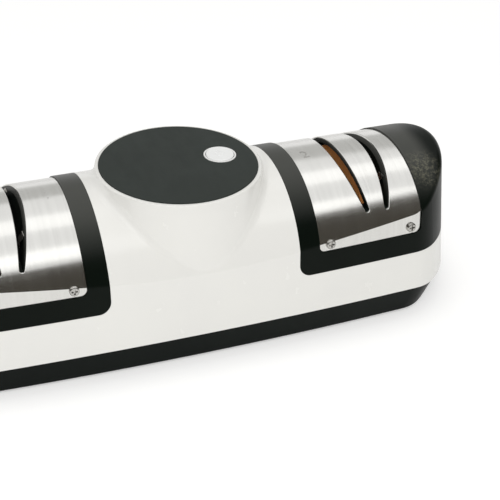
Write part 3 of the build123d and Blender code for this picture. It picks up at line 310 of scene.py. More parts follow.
@dataclass(frozen=True)
class Finish:
    """A finish of its own name, which stands for one material slot of the record.

    Scales are waves or grains per metre, and depths of bumps are metres.
    """

    name: str

    def make(self) -> bpy.types.Material:
        """Makes the material.

        Returns:
            The material.
        """
        material = bpy.data.materials.new("finish_" + self.name)
        material.use_nodes = True
        self.paint(Graph(material.node_tree))
        return material

    def paint(self, graph: Graph) -> None:
        """Fills the material's nodes; each kind of finish has its own.

        Args:
            graph: Graph of the material.
        """
        raise NotImplementedError


@dataclass(frozen=True)
class MouldedPlastic(Finish):
    """Injection-moulded plastic with a fine spark-eroded or polished surface."""

    CLOUD_SCALE = 26.0
    CLOUD_RANGE = (0.35, 0.68)
    MARK_STRETCH = (140.0, 60.0, 90.0)
    MARK_RANGE = (0.3, 0.75)
    GRAIN_SHARE = 0.2
    CLEAN_SHARE = 0.92  # roughness of untouched plastic, as a share of the usual
    MARKED_SHARE = 0.16  # what handling adds to it
    MARKED_LEAST = 0.02
    COAT_ROUGHNESS = 0.07

    colour: Colour
    shade: Colour
    roughness: float
    grain: float = 2600.0
    grain_depth: float = 0.01 * MM
    coat: float = 0.0
    specular: float = 0.5

    def paint(self, graph: Graph) -> None:
        """Slow waves of tone, handling marks in the gloss and a fine grain.

        Args:
            graph: Graph of the material.
        """
        place = graph.place()
        clouds = graph.noise(place, self.CLOUD_SCALE, detail=3.0)
        marks = graph.noise(graph.place(self.MARK_STRETCH), 1.0, detail=5.0, rough=0.62)
        grain = graph.noise(place, self.grain, detail=2.0, rough=0.6)
        tone = clouds.step(*self.CLOUD_RANGE) * (1.0 - self.GRAIN_SHARE) + grain * self.GRAIN_SHARE
        marked = self.MARKED_SHARE * self.roughness + self.MARKED_LEAST
        graph.surface(
            Base_Color=graph.mix(tone, self.shade, self.colour),
            Roughness=marks.step(*self.MARK_RANGE) * marked + self.CLEAN_SHARE * self.roughness,
            Normal=graph.bump(grain, self.grain_depth),
            Coat_Weight=self.coat,
            Coat_Roughness=self.COAT_ROUGHNESS,
            Specular_IOR_Level=self.specular,
        )


@dataclass(frozen=True)
class HousingPlastic(Finish):
    """Satin black plastic of the station housings, with painted sheen on the tops and painted
    glints in a worn, mottled patch on the end caps.
    """

    CLOUD_SCALE = 30.0
    GRAIN_SCALE = 2200.0
    LEATHER_SCALE = 900.0
    RAGGED_SCALE = 420.0
    RAGGED_RANGE = (0.42, 0.62)
    GLINT_SCALE = 1900.0
    GLINT_RANGE = (0.38, 0.66)
    GLINT_AND_WEAR_REACH = (4 * MM, 17 * MM)  # from the middle of the worn place, with its painted glints, to its end
    SHEEN_HEIGHTS = (70 * MM, 97 * MM)  # heights over which the painted sheen grows, from the walls to the crest
    SHEEN_END = (142 * MM, 153 * MM)  # along the machine, where the painted sheen stops as the cap falls away
    SHEEN_LEAST = 0.85
    SHEEN_WAVES = 0.3
    GRAIN_DEPTH = 0.03 * MM
    GRAIN_SHARE = 0.5
    SATIN = 0.3
    SATIN_WAVES = 0.06
    SPECULAR = 0.1

    colour: Colour
    shade: Colour
    # colour of the painted sheen on the tops
    dust_and_sheen: Colour
    # colour of the painted glints on the end cap
    painted_glint: Colour
    cap_centre: tuple[float, float, float]

    def paint(self, graph: Graph) -> None:
        """Fine grain, painted sheen that lightens the tops, and lighter flecks of painted glint on
        the worn end cap.

        Args:
            graph: Graph of the material.
        """
        place = graph.place()
        clouds = graph.noise(place, self.CLOUD_SCALE, detail=3.0)
        grain = graph.noise(place, self.GRAIN_SCALE, detail=2.0, rough=0.6)
        leather = graph.cells(place, self.LEATHER_SCALE)
        both_ends = graph.vector_math("ABSOLUTE", place).outputs[0]
        from_cap = graph.vector_math("SUBTRACT", both_ends, self.cap_centre).outputs[0]
        near = 1.0 - graph.length(from_cap).step(*self.GLINT_AND_WEAR_REACH)
        ragged = graph.noise(place, self.RAGGED_SCALE, detail=5.0, rough=0.7)
        speckled = graph.noise(place, self.GLINT_SCALE, detail=3.0, rough=0.7)
        # Painted glints: lighter flecks of colour in a ragged patch around the end cap
        painted_glint = near * ragged.step(*self.RAGGED_RANGE) * speckled.step(*self.GLINT_RANGE)
        along, _, upward = graph.parts(both_ends)
        # Painted sheen: the colour grows lighter towards the top, and stops short of the cap's
        # crest and end wall
        painted_sheen = upward.step(*self.SHEEN_HEIGHTS) * (1.0 - along.step(*self.SHEEN_END))
        clean = graph.mix(clouds.step(*SOFT), self.shade, self.colour)
        base = graph.mix(painted_sheen * (clouds * self.SHEEN_WAVES + self.SHEEN_LEAST), clean, self.dust_and_sheen)
        height = grain * self.GRAIN_SHARE + (1.0 - leather) * (1.0 - self.GRAIN_SHARE) * near
        graph.surface(
            Base_Color=graph.mix(painted_glint, base, self.painted_glint),
            Roughness=clouds * self.SATIN_WAVES + self.SATIN + near * self.SATIN_WAVES,
            Normal=graph.bump(height, self.GRAIN_DEPTH),
            Specular_IOR_Level=self.SPECULAR,
        )


@dataclass(frozen=True)
class BrushedSteel(Finish):
    """Stainless sheet, brushed over the arch from front to back."""

    LINE_STRETCH = (5200.0, 40.0, 40.0)
    STREAK_STRETCH = (420.0, 9.0, 9.0)
    STREAK_RANGE = (0.25, 0.75)
    TARNISH_SCALE = 55.0
    TONE_SHARES = (0.55, 0.3, 0.15)  # of the streaks, the lines and the tarnish
    ROUGH_WAVES = (0.06, 0.08, 0.05)  # by the same three
    RELIEF_SHARES = (0.3, 0.7)  # of the streaks and the lines
    RELIEF_DEPTH = 0.004 * MM

    colour: Colour
    shade: Colour
    roughness: float

    def paint(self, graph: Graph) -> None:
        """Fine lines over the arch, long soft streaks and a little tarnish.

        Args:
            graph: Graph of the material.
        """
        lines = graph.noise(graph.place(self.LINE_STRETCH), 1.0, detail=3.0, rough=0.7)
        streaks = graph.noise(graph.place(self.STREAK_STRETCH), 1.0, detail=3.0, rough=0.6)
        tarnish = graph.noise(graph.place(), self.TARNISH_SCALE, detail=4.0, rough=0.6)
        toned = (streaks.step(*self.STREAK_RANGE), lines.step(*SOFT), tarnish)
        tone = graph.blend(toned, self.TONE_SHARES)
        rough = graph.blend((streaks, lines, tarnish), self.ROUGH_WAVES)
        graph.surface(
            Base_Color=graph.mix(tone, self.shade, self.colour),
            Metallic=1.0,
            Roughness=rough + (self.roughness - sum(self.ROUGH_WAVES) / 2),
            Normal=graph.bump(graph.blend((streaks, lines), self.RELIEF_SHARES), self.RELIEF_DEPTH),
        )


@dataclass(frozen=True)
class PlainMetal(Finish):
    """Turned, drawn or plated metal of small pieces."""

    CLOUD_SCALE = 120.0
    TONE_SHARES = (0.4, 0.6)  # of the tool marks and the clouds
    ROUGH_WAVES = (0.12, 0.08)  # by the same two

    colour: Colour
    shade: Colour
    roughness: float
    scale: float = 900.0
    depth: float = 0.01 * MM
    stretch: tuple[float, float, float] = (1.0, 1.0, 1.0)

    def paint(self, graph: Graph) -> None:
        """Tool marks, and tone that varies from place to place.

        Args:
            graph: Graph of the material.
        """
        marks = graph.noise(graph.place(self.stretch), self.scale, detail=3.0, rough=0.65)
        clouds = graph.noise(graph.place(), self.CLOUD_SCALE, detail=3.0)
        tone = graph.blend((marks, clouds.step(*SOFT)), self.TONE_SHARES)
        rough = graph.blend((marks, clouds), self.ROUGH_WAVES)
        graph.surface(
            Base_Color=graph.mix(tone, self.shade, self.colour),
            Metallic=1.0,
            Roughness=rough + (self.roughness - sum(self.ROUGH_WAVES) / 2),
            Normal=graph.bump(marks, self.depth),
        )


@dataclass(frozen=True)
class GrindingStone(Finish):
    """Bonded abrasive: grit in a resin, darker where steel has been ground."""

    CELL_RANGE = (0.15, 0.75)
    SPARKLE_RANGE = (0.68, 0.76)
    FINE_FACTOR = 1.7
    CLOUD_SCALE = 90.0
    GROUND_WIDTH = 4 * MM
    GROUND_SHARE = 0.45
    GRIT_SHARES = (0.6, 0.4)  # of the grains and the fine grit
    GRIT_DEPTH = 0.09 * MM
    ROUGHNESS = 0.76
    ROUGH_WAVES = 0.12
    SPECULAR = 0.3

    grit: Colour
    bond: Colour
    sparkle: Colour
    grain: float
    ground_radius: float
    axis_height: float

    def paint(self, graph: Graph) -> None:
        """Grit, open pores and the ground band near the rim.

        Args:
            graph: Graph of the material.
        """
        place = graph.place()
        cells = graph.cells(place, self.grain)
        fine = graph.noise(place, self.grain * self.FINE_FACTOR, detail=3.0, rough=0.7)
        clouds = graph.noise(place, self.CLOUD_SCALE, detail=3.0)
        radius = graph.length(graph.place((0.0, 1.0, 1.0), (0.0, 0.0, self.axis_height)))
        band = radius.step(self.ground_radius - self.GROUND_WIDTH, self.ground_radius)
        ground = band * clouds.step(*SOFT)
        body = graph.mix(cells.step(*self.CELL_RANGE), self.grit, self.bond)
        dusty = graph.mix(ground * self.GROUND_SHARE, body, self.bond)
        graph.surface(
            Base_Color=graph.mix(fine.step(*self.SPARKLE_RANGE), dusty, self.sparkle),
            Roughness=fine * self.ROUGH_WAVES + self.ROUGHNESS,
            Normal=graph.bump(graph.blend((cells, fine), self.GRIT_SHARES), self.GRIT_DEPTH),
            Specular_IOR_Level=self.SPECULAR,
        )


@dataclass(frozen=True)
class Rubber(Finish):
    """Matt moulded rubber."""

    PIT_SCALE = 2400.0
    PIT_DEPTH = 0.02 * MM
    DUST_SCALE = 160.0
    DUST_RANGE = (0.5, 0.85)
    DUST_SHARE = 0.6
    ROUGHNESS = 0.72
    ROUGH_WAVES = 0.1
    SPECULAR = 0.3

    colour: Colour
    dust_and_sheen: Colour

    def paint(self, graph: Graph) -> None:
        """Dull skin with dust in its fine pits.

        Args:
            graph: Graph of the material.
        """
        place = graph.place()
        pits = graph.cells(place, self.PIT_SCALE)
        dust_and_sheen = graph.noise(place, self.DUST_SCALE, detail=5.0, rough=0.65)
        dusty = dust_and_sheen.step(*self.DUST_RANGE) * self.DUST_SHARE
        graph.surface(
            Base_Color=graph.mix(dusty, self.colour, self.dust_and_sheen),
            Roughness=dust_and_sheen * self.ROUGH_WAVES + self.ROUGHNESS,
            Normal=graph.bump(pits, self.PIT_DEPTH),
            Specular_IOR_Level=self.SPECULAR,
        )


@dataclass(frozen=True)
class CopperWinding(Finish):
    """Enamelled copper wire in wound layers, on a laminated core."""

    WOBBLE = 0.6
    VARNISH_SCALE = 240.0
    VARNISH_COAT = 0.4
    VARNISH_ROUGHNESS = 0.15
    TONE_SHARES = (0.7, 0.3)  # of the turns and the varnish
    GAP_METAL = 0.6
    TURN_METAL = 0.3  # what a turn adds to it
    ROUGHNESS = 0.28
    TURN_DEPTH = 0.06 * MM

    colour: Colour
    shade: Colour
    wire: float

    def paint(self, graph: Graph) -> None:
        """Turns of wire, with painted shade in the gaps between them.

        Args:
            graph: Graph of the material.
        """
        waves = graph.node(
            "ShaderNodeTexWave",
            {"wave_type": "BANDS", "bands_direction": "X"},
            {"Vector": graph.place(), "Scale": self.wire, "Distortion": self.WOBBLE, "Detail": 1.0},
        )
        turn = Wire(graph, waves.outputs["Fac"])
        varnish = graph.noise(graph.place(), self.VARNISH_SCALE, detail=3.0)
        tone = graph.blend((turn, varnish), self.TONE_SHARES)
        graph.surface(
            # Painted shade: the colour darkens in the gaps between turns
            Base_Color=graph.mix(tone, self.shade, self.colour),
            Metallic=turn * self.TURN_METAL + self.GAP_METAL,
            Roughness=varnish * self.VARNISH_ROUGHNESS + self.ROUGHNESS,
            Normal=graph.bump(turn, self.TURN_DEPTH),
            Coat_Weight=self.VARNISH_COAT,
            Coat_Roughness=self.VARNISH_ROUGHNESS,
        )


@dataclass(frozen=True)
class CircuitBoard(Finish):
    """Solder-masked board with copper tracks under the mask."""

    TRACK_SCALE = 190.0
    TRACK_DISORDER = 0.55
    TRACK_RANGE = (0.05, 0.09)
    PAD_RANGE = (0.1, 0.15)
    WEAVE_STRETCH = (1500.0, 200.0, 1.0)
    TONE_SHARES = (0.8, 0.1)  # of the tracks and the weave
    PAD_METAL = 0.9
    ROUGHNESS = 0.25
    PAD_ROUGHNESS = 0.1
    TRACK_DEPTH = 0.04 * MM

    mask: Colour
    track: Colour
    solder: Colour

    def paint(self, graph: Graph) -> None:
        """Tracks as cell borders, and tinned pads.

        Args:
            graph: Graph of the material.
        """
        blocky = graph.node(
            "ShaderNodeTexVoronoi",
            {"feature": "DISTANCE_TO_EDGE", "distance": "EUCLIDEAN"},
            {"Vector": graph.place(), "Scale": self.TRACK_SCALE, "Randomness": self.TRACK_DISORDER},
        )
        tracks = 1.0 - Wire(graph, blocky.outputs["Distance"]).step(*self.TRACK_RANGE)
        pads = 1.0 - graph.cells(graph.place(), self.TRACK_SCALE).step(*self.PAD_RANGE)
        weave = graph.noise(graph.place(self.WEAVE_STRETCH), 1.0, detail=2.0)
        masked = graph.mix(graph.blend((tracks, weave), self.TONE_SHARES), self.mask, self.track)
        graph.surface(
            Base_Color=graph.mix(pads, masked, self.solder),
            Metallic=pads * self.PAD_METAL,
            Roughness=pads * self.PAD_ROUGHNESS + self.ROUGHNESS,
            Normal=graph.bump(tracks + pads, self.TRACK_DEPTH),
        )


@dataclass(frozen=True)
class ClearPlastic(Finish):
    """Clear acrylic that carries light."""

    FLOW_STRETCH = (1.0, 1.0, 6.0)
    FLOW_SCALE = 130.0
    FLOW_DEPTH = 0.02 * MM
    ROUGHNESS = 0.04
    ROUGH_WAVES = 0.08
    TRANSMISSION = 0.9
    INDEX = 1.49

    colour: Colour

    def paint(self, graph: Graph) -> None:
        """Polished faces with faint flow lines.

        Args:
            graph: Graph of the material.
        """
        flow = graph.noise(graph.place(self.FLOW_STRETCH), self.FLOW_SCALE, detail=2.0)
        graph.surface(
            Base_Color=self.colour,
            Roughness=flow * self.ROUGH_WAVES + self.ROUGHNESS,
            Normal=graph.bump(flow, self.FLOW_DEPTH),
            Transmission_Weight=self.TRANSMISSION,
            IOR=self.INDEX,
        )


@dataclass(frozen=True)
class CableSkin(Finish):
    """PVC skin of small leads."""

    MARK_SCALE = 700.0
    MARK_DEPTH = 0.02 * MM
    ROUGHNESS = 0.3
    ROUGH_WAVES = 0.15

    colour: Colour
    shade: Colour

    def paint(self, graph: Graph) -> None:
        """Soft gloss with handling marks.

        Args:
            graph: Graph of the material.
        """
        marks = graph.noise(graph.place(), self.MARK_SCALE, detail=3.0, rough=0.6)
        graph.surface(
            Base_Color=graph.mix(marks, self.shade, self.colour),
            Roughness=marks * self.ROUGH_WAVES + self.ROUGHNESS,
            Normal=graph.bump(marks, self.MARK_DEPTH),
        )


@dataclass(frozen=True)
class Etching(Finish):
    """Steel with its brushing etched away."""

    FROST_SCALE = 3600.0
    FROST_DEPTH = 0.01 * MM
    BITE_SCALE = 420.0
    TONE_SHARES = (0.5, 0.5)  # of the frost and the bite
    METAL = 0.85
    ROUGHNESS = 0.5
    ROUGH_WAVES = 0.1

    colour: Colour
    shade: Colour

    def paint(self, graph: Graph) -> None:
        """Frosted steel, a little uneven.

        Args:
            graph: Graph of the material.
        """
        frost = graph.noise(graph.place(), self.FROST_SCALE, detail=2.0, rough=0.7)
        bite = graph.noise(graph.place(), self.BITE_SCALE, detail=3.0)
        tone = graph.blend((frost, bite), self.TONE_SHARES)
        graph.surface(
            Base_Color=graph.mix(tone, self.shade, self.colour),
            Metallic=self.METAL,
            Roughness=frost * self.ROUGH_WAVES + self.ROUGHNESS,
            Normal=graph.bump(frost, self.FROST_DEPTH),
        )


AXIS_HEIGHT = 46 * MM  # axis of the motor and the wheels
WHEEL_RADIUS = 41 * MM
TURNED = (1.0, 0.1, 0.1)  # tool marks that run around the X axis
ROLLED = (1.0, 1.0, 0.1)  # marks that run along a strip on end
FINISHES: tuple[Finish, ...] = (
    MouldedPlastic(
        "white_body", (0.87, 0.865, 0.83), (0.85, 0.845, 0.815), 0.24,
        grain=1500.0, grain_depth=0.003 * MM, coat=0.35,
    ),
    MouldedPlastic(
        "black_body", (0.003, 0.0055, 0.004), (0.002, 0.004, 0.003), 0.38,
        grain=2400.0, specular=0.09,
    ),
    MouldedPlastic(
        "black_disc", (0.029, 0.036, 0.032), (0.025, 0.0315, 0.0275), 0.44,
        grain=2800.0, grain_depth=0.008 * MM, specular=0.12,
    ),
    MouldedPlastic(
        "button_plastic", (0.93, 0.94, 0.935), (0.9, 0.91, 0.905), 0.3,
        grain=2200.0, grain_depth=0.005 * MM,
    ),
    MouldedPlastic(
        "bezel_plastic", (0.9, 0.9, 0.89), (0.86, 0.86, 0.85), 0.24,
        grain=2200.0, grain_depth=0.004 * MM, coat=0.2,
    ),
    MouldedPlastic(
        "part_black", (0.02, 0.02, 0.022), (0.014, 0.014, 0.015), 0.45,
        grain=1800.0, grain_depth=0.02 * MM,
    ),
    MouldedPlastic("part_white", (0.74, 0.72, 0.66), (0.66, 0.64, 0.58), 0.4, grain=1800.0),
    MouldedPlastic(
        "coupling_plastic", (0.5, 0.09, 0.03), (0.4, 0.07, 0.025), 0.4,
        grain=1600.0, grain_depth=0.02 * MM,
    ),
    BrushedSteel("steel_cover", (0.76, 0.755, 0.73), (0.68, 0.675, 0.65), 0.19),
    PlainMetal(
        "bright_steel", (0.6, 0.59, 0.56), (0.4, 0.39, 0.37), 0.26,
        scale=1500.0, depth=0.004 * MM,
    ),
    PlainMetal(
        "machined_steel", (0.62, 0.61, 0.59), (0.45, 0.44, 0.42), 0.3,
        scale=2600.0, stretch=TURNED,
    ),
    PlainMetal("dark_steel", (0.11, 0.105, 0.1), (0.06, 0.058, 0.055), 0.42, scale=1300.0),
    PlainMetal(
        "spring_steel", (0.5, 0.48, 0.45), (0.34, 0.33, 0.31), 0.3,
        scale=1600.0, depth=0.006 * MM, stretch=ROLLED,
    ),
    PlainMetal(
        "bushing_bronze", (0.58, 0.36, 0.16), (0.4, 0.23, 0.1), 0.45,
        scale=2200.0, depth=0.02 * MM,
    ),
    PlainMetal(
        "magnet_ferrite", (0.13, 0.13, 0.135), (0.08, 0.08, 0.085), 0.62,
        scale=1400.0, depth=0.03 * MM,
    ),
    GrindingStone(
        "fine_stone", (0.98, 0.43, 0.14), (0.92, 0.35, 0.1), (0.98, 0.7, 0.45),
        grain=1500.0, ground_radius=WHEEL_RADIUS, axis_height=AXIS_HEIGHT,
    ),
    GrindingStone(
        "coarse_stone", (0.36, 0.34, 0.32), (0.2, 0.185, 0.175), (0.75, 0.73, 0.7),
        grain=950.0, ground_radius=WHEEL_RADIUS, axis_height=AXIS_HEIGHT,
    ),
    Rubber("foot_rubber", (0.018, 0.018, 0.019), (0.07, 0.068, 0.064)),
    Rubber("mount_rubber", (0.024, 0.023, 0.024), (0.06, 0.058, 0.055)),
    CopperWinding("copper_winding", (0.72, 0.28, 0.1), (0.28, 0.1, 0.04), wire=900.0),
    CircuitBoard("board_green", (0.01, 0.12, 0.04), (0.03, 0.22, 0.07), (0.62, 0.62, 0.6)),
    ClearPlastic("clear_plastic", (0.93, 0.95, 0.96)),
    CableSkin("lead_red", (0.55, 0.03, 0.025), (0.4, 0.02, 0.02)),
)


class Wardrobe:
    """All finishes as materials, by the name of their slot."""

    def __init__(self, finishes: Sequence[Finish]) -> None:
        """Makes every material once.

        Args:
            finishes: The finishes to make.
        """
        self.materials = {finish.name: finish.make() for finish in finishes}

    def dress(self, node: bpy.types.Object) -> None:
        """Gives a CAD node the finish of each of its slots.

        Args:
            node: The node.
        """
        for held in node.material_slots:
            name = held.material.name.split(".")[0]
            held.material = self.materials[name]

    @staticmethod
    def put(piece: bpy.types.Object, slot: str, finish: Finish) -> None:
        """Gives a new piece a finish of its own.

        Args:
            piece: The piece.
            slot: Not used.
            finish: The finish.
        """
        piece.data.materials.clear()
        piece.data.materials.append(finish.make())


# ---------------------------------------------------------------- modelling by hand


def pick_none() -> None:
    """Deselects every object."""
    bpy.ops.object.select_all(action="DESELECT")


def pick(piece: bpy.types.Object) -> bpy.types.Object:
    """Selects one object alone and makes it active.

    Args:
        piece: The object.

    Returns:
        The same object.
    """
    pick_none()
    piece.select_set(True)
    bpy.context.view_layer.objects.active = piece
    return piece


def added(name: str) -> bpy.types.Object:
    """Names the object that an operator has just added.

    Args:
        name: Its name.

    Returns:
        The object.
    """
    piece = bpy.context.active_object
    piece.name = name
    piece.data.name = name
    return pick(piece)


def settle(piece: bpy.types.Object) -> None:
    """Applies a piece's place, turn and size to its mesh.

    Args:
        piece: The piece.
    """
    pick(piece)
    bpy.ops.object.transform_apply(location=True, rotation=True, scale=True)


# ---------------------------------------------------------------- sub-assemblies


class Side(Enum):
    """The two ends of the machine."""

    LEFT = -1
    RIGHT = 1

    @property
    def word(self) -> str:
        """The word that its nodes start with."""
        return self.name.lower()


@dataclass
class Shell:
    """White body, black base, feet and their screws."""

    nodes: dict[str, bpy.types.Object]
    wardrobe: Wardrobe
    members: tuple[str, ...] = ("base_housing", "upper_shell", "rubber_feet", "base_screws")

    def dress(self) -> None:
        """Gives each member its finish."""
        for name in self.members:
            self.wardrobe.dress(self.nodes[name])


@dataclass
class BladeStation:
    """One grinding station: housing, steel cover, guide, springs, wheel and its bearings."""

    side: Side
    nodes: dict[str, bpy.types.Object]
    wardrobe: Wardrobe
    numeral_height: float = 7.0 * MM
    numeral_x: float = 76.5 * MM
    numeral_tilt: float = math.radians(4.0)
    arch_radius: float = 55.2 * MM
    arch_axis: float = 36.3 * MM
    numeral_proud: float = 0.03 * MM
    numeral_smoothness: int = 6
    cap_centre: tuple[float, float, float] = (141 * MM, 24 * MM, 78 * MM)

    def members(self) -> list[str]:
        """Names of the station's CAD nodes.

        Returns:
            The names.
        """
        return sorted(name for name in self.nodes if name.startswith(self.side.word + "_"))

    def dress(self) -> None:
        """Gives each member its finish, and the housing its own."""
        for name in self.members():
            self.wardrobe.dress(self.nodes[name])
        housing = self.nodes[self.side.word + "_station_housing"]
        finish = HousingPlastic(
            "housing_" + self.side.word,
            colour=(0.003, 0.0055, 0.0035),
            shade=(0.002, 0.004, 0.0025),
            # painted sheen on the tops of the housing
            dust_and_sheen=(0.077, 0.079, 0.072),
            # painted glints on the end cap
            painted_glint=(0.26, 0.25, 0.18),
            cap_centre=self.cap_centre,
        )
        housing.material_slots[0].material = finish.make()

    def numeral(self) -> bpy.types.Object:
        """Models the etched numeral at the inner end of the cover, bent over the arch.

        Returns:
            The numeral.
        """
        bpy.ops.object.text_add(radius=self.numeral_height / CAP_HEIGHT)
        piece = added(self.side.word + "_numeral")
        piece.data.body = {Side.LEFT: "1", Side.RIGHT: "2"}[self.side]
        piece.data.align_x = "CENTER"
        piece.data.align_y = "CENTER"
        piece.data.resolution_u = self.numeral_smoothness
        bpy.ops.object.convert(target="MESH")
        piece = pick(bpy.context.active_object)
        piece.location = (self.side.value * self.numeral_x, 0.0, 0.0)
        settle(piece)
        radius = self.arch_radius + self.numeral_proud
        for vertex in piece.data.vertices:
            angle = vertex.co.y / self.arch_radius - self.numeral_tilt
            height = self.arch_axis + radius * math.cos(angle)
            vertex.co = Vector((vertex.co.x, radius * math.sin(angle), height))
        etching = Etching("numeral", colour=(0.5, 0.49, 0.47), shade=(0.42, 0.41, 0.39))
        self.wardrobe.put(piece, "steel_cover", etching)
        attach(piece, "body")
        return piece


@dataclass
class ControlHub:
    """Disc, button, indicators and the board under them."""

    nodes: dict[str, bpy.types.Object]
    wardrobe: Wardrobe
    members: tuple[str, ...] = (
        "control_disc",
        "button_bezel",
        "power_button",
        "switch_plunger",
        "button_switch",
        "control_board",
        "board_screws",
        "board_capacitor",
        "board_connectors",
        "indicator_light_guide",
        "indicator_leds",
    )

    def dress(self) -> None:
        """Gives each member its finish."""
        for name in self.members:
            self.wardrobe.dress(self.nodes[name])


@dataclass
class Drive:
    """Motor with its mounts, leads and the supply inlet."""

    nodes: dict[str, bpy.types.Object]
    wardrobe: Wardrobe
    starts: tuple[str, ...] = ("motor_", "dc_", "jack_")

    def members(self) -> list[str]:
        """Names of the drive's CAD nodes.

        Returns:
            The names.
        """
        return sorted(name for name in self.nodes if name.startswith(self.starts))

    def dress(self) -> None:
        """Gives each member its finish."""
        for name in self.members():
            self.wardrobe.dress(self.nodes[name])


# ---------------------------------------------------------------- studio


@dataclass(frozen=True)
class SoftBox:
    """A wide lamp that leans towards the machine."""

    name: str
    place: tuple[float, float, float]
    size: tuple[float, float]
    watts: float
    in_gloss: bool = True


@dataclass(frozen=True)
class Card:
    """A curved card around the machine, which only the gloss of things sees.

    It ends at the Y of its edge, and is open in the direction away along Y.
    """

    name: str
    heights: tuple[float, float]
    edge: float
    away: float
    tone: Colour


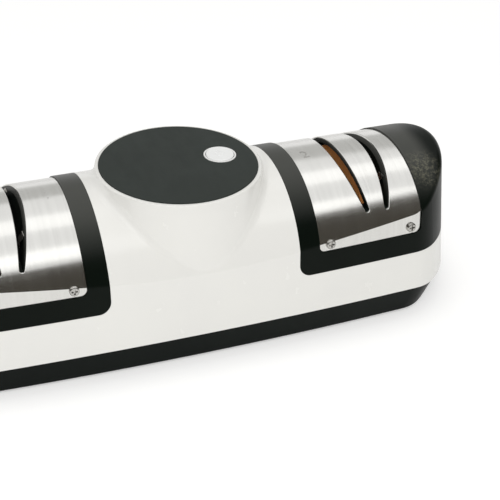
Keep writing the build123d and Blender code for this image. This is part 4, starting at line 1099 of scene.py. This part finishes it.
@dataclass
class Studio:
    """Pale floor, white surroundings, soft boxes, cards for the steel, and the camera."""

    camera_place: tuple[float, float, float] = (-0.1645, -0.4780, 0.3726)
    azimuth: float = math.radians(17.574)
    elevation: float = math.radians(33.519)
    roll: float = math.radians(-0.077)
    focal_pixels: float = 1020.22
    picture_width: float = 500.0
    centre_column: float = 155.94
    sensor: float = 36.0
    nearest: float = 10 * MM
    daylight: Colour = (1.0, 0.995, 0.985)
    daylight_level: float = 0.635
    paper: Colour = (0.86, 0.86, 0.855)
    paper_glow: float = 0.34
    paper_gloss: float = 0.55
    floor_radius: float = 2.2
    floor_sides: int = 96
    card_radius: float = 0.95
    card_sides: int = 128
    cards: tuple[Card, ...] = (
        Card("dark_card", (0.04, 0.95), 0.25, 1.0, (0.066, 0.06, 0.05)),
        Card("grey_card", (0.3, 0.95), 0.3, -1.0, (0.6, 0.6, 0.59)),
    )
    boxes: tuple[SoftBox, ...] = (
        SoftBox("box_above", (0.3, 0.17, 1.3), (2.4, 0.42), 1.3),
        SoftBox("box_front", (0.25, -0.7, 1.1), (2.4, 0.34), 1.45),
        SoftBox("box_fill", (-0.4, -1.0, 0.9), (0.7, 0.6), 4.9, in_gloss=False),
    )

    def camera(self) -> None:
        """Sets the camera."""
        data = bpy.data.cameras.new("camera")
        camera = bpy.data.objects.new("camera", data)
        bpy.context.scene.collection.objects.link(camera)
        data.sensor_width = self.sensor
        data.lens = self.focal_pixels / self.picture_width * self.sensor
        data.shift_x = (self.picture_width / 2 - self.centre_column) / self.picture_width
        data.clip_start = self.nearest
        turn = (
            Matrix.Rotation(-self.azimuth, 4, "Z")
            @ Matrix.Rotation(math.pi / 2 - self.elevation, 4, "X")
            @ Matrix.Rotation(self.roll, 4, "Z")
        )
        camera.matrix_world = Matrix.Translation(self.camera_place) @ turn
        bpy.context.scene.camera = camera

    @staticmethod
    def shown(graph: Graph, gloss: float) -> Wire:
        """Where the white backdrop shows: to the eye, in gloss and through clear pieces.

        Args:
            graph: Graph of the backdrop's material or world.
            gloss: Share of it that gloss sees.

        Returns:
            1 where it shows, else 0.
        """
        path = graph.node("ShaderNodeLightPath")
        eye = Wire(graph, path.outputs["Is Camera Ray"])
        seen = eye + Wire(graph, path.outputs["Is Transmission Ray"])
        seen = seen + Wire(graph, path.outputs["Is Glossy Ray"]) * gloss
        node = graph.node("ShaderNodeMath", {"operation": "MINIMUM"}, {0: seen, 1: 1.0})
        return Wire(graph, node.outputs[0])

    def world(self) -> None:
        """White surroundings that light things at a plain level and show as white."""
        world = bpy.data.worlds.new("surroundings")
        bpy.context.scene.world = world
        world.use_nodes = True
        graph = Graph(world.node_tree)
        light = {"Color": (*self.daylight, 1.0), "Strength": self.daylight_level}
        soft = graph.node("ShaderNodeBackground", None, light)
        white = graph.node("ShaderNodeBackground", None, {"Color": WHITE, "Strength": 1.0})
        inputs = {0: self.shown(graph, 1.0), 1: soft.outputs[0], 2: white.outputs[0]}
        surroundings = graph.node("ShaderNodeMixShader", None, inputs)
        graph.node("ShaderNodeOutputWorld", None, {"Surface": surroundings.outputs[0]})

    def floor(self) -> None:
        """Lays the pale floor, which keeps the shadow and is white elsewhere."""
        bpy.ops.mesh.primitive_circle_add(
            vertices=self.floor_sides, radius=self.floor_radius, fill_type="NGON"
        )
        floor = added("floor")
        material = bpy.data.materials.new("floor_paper")
        material.use_nodes = True
        graph = Graph(material.node_tree)
        paper = graph.node("ShaderNodeBsdfDiffuse", None, {"Color": (*self.paper, 1.0)})
        glow = graph.node("ShaderNodeEmission", None, {"Color": WHITE, "Strength": self.paper_glow})
        lit = graph.node("ShaderNodeAddShader", None, {0: paper.outputs[0], 1: glow.outputs[0]})
        inputs = {0: self.shown(graph, self.paper_gloss), 1: paper.outputs[0], 2: lit.outputs[0]}
        surface = graph.node("ShaderNodeMixShader", None, inputs)
        graph.node("ShaderNodeOutputMaterial", None, {"Surface": surface.outputs[0]})
        floor.data.materials.append(material)

    def hang(self, box: SoftBox) -> None:
        """Hangs a soft box.

        Args:
            box: The soft box.
        """
        data = bpy.data.lights.new(box.name, "AREA")
        data.shape = "RECTANGLE"
        data.size, data.size_y = box.size
        data.energy = box.watts
        data.color = self.daylight
        lamp = bpy.data.objects.new(box.name, data)
        bpy.context.scene.collection.objects.link(lamp)
        lamp.location = box.place
        _, forward, upward = box.place
        lamp.rotation_euler = (math.atan2(-forward, upward), 0.0, 0.0)
        lamp.visible_glossy = box.in_gloss

    def stand(self, sheet: Card) -> None:
        """Stands a card around the machine.

        Args:
            sheet: The card.
        """
        low, high = sheet.heights
        bpy.ops.mesh.primitive_cylinder_add(
            vertices=self.card_sides,
            radius=self.card_radius,
            depth=high - low,
            end_fill_type="NOTHING",
            location=(0.0, 0.0, (high + low) / 2),
        )
        card = added(sheet.name)
        settle(card)
        bpy.ops.object.mode_set(mode="EDIT")
        bpy.ops.mesh.select_all(action="SELECT")
        bpy.ops.mesh.bisect(
            plane_co=(0.0, sheet.edge, 0.0), plane_no=(0.0, sheet.away, 0.0), clear_outer=True
        )
        bpy.ops.object.mode_set(mode="OBJECT")
        material = bpy.data.materials.new(sheet.name + "_felt")
        material.use_nodes = True
        graph = Graph(material.node_tree)
        even = {"Color": (*sheet.tone, 1.0), "Strength": 1.0}
        felt = graph.node("ShaderNodeEmission", None, even)
        graph.node("ShaderNodeOutputMaterial", None, {"Surface": felt.outputs[0]})
        card.data.materials.append(material)
        card.visible_camera = False
        card.visible_diffuse = False
        card.visible_shadow = False
        card.visible_transmission = False

    def build(self) -> None:
        """Sets everything up."""
        bpy.context.scene.view_settings.view_transform = "Standard"
        self.camera()
        self.world()
        self.floor()
        for sheet in self.cards:
            self.stand(sheet)
        for box in self.boxes:
            self.hang(box)


def main() -> None:
    """Dresses the machine, adds its small pieces and sets the studio."""
    logging.basicConfig(level=logging.INFO, format="%(message)s")
    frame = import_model()
    pick_none()
    nodes = frame["nodes"]
    Studio().build()
    wardrobe = Wardrobe(FINISHES)
    Shell(nodes, wardrobe).dress()
    for side in Side:
        station = BladeStation(side, nodes, wardrobe)
        station.dress()
        LOG.info("piece %s", station.numeral().name)
    ControlHub(nodes, wardrobe).dress()
    Drive(nodes, wardrobe).dress()


if __name__ == "__main__":
    main()
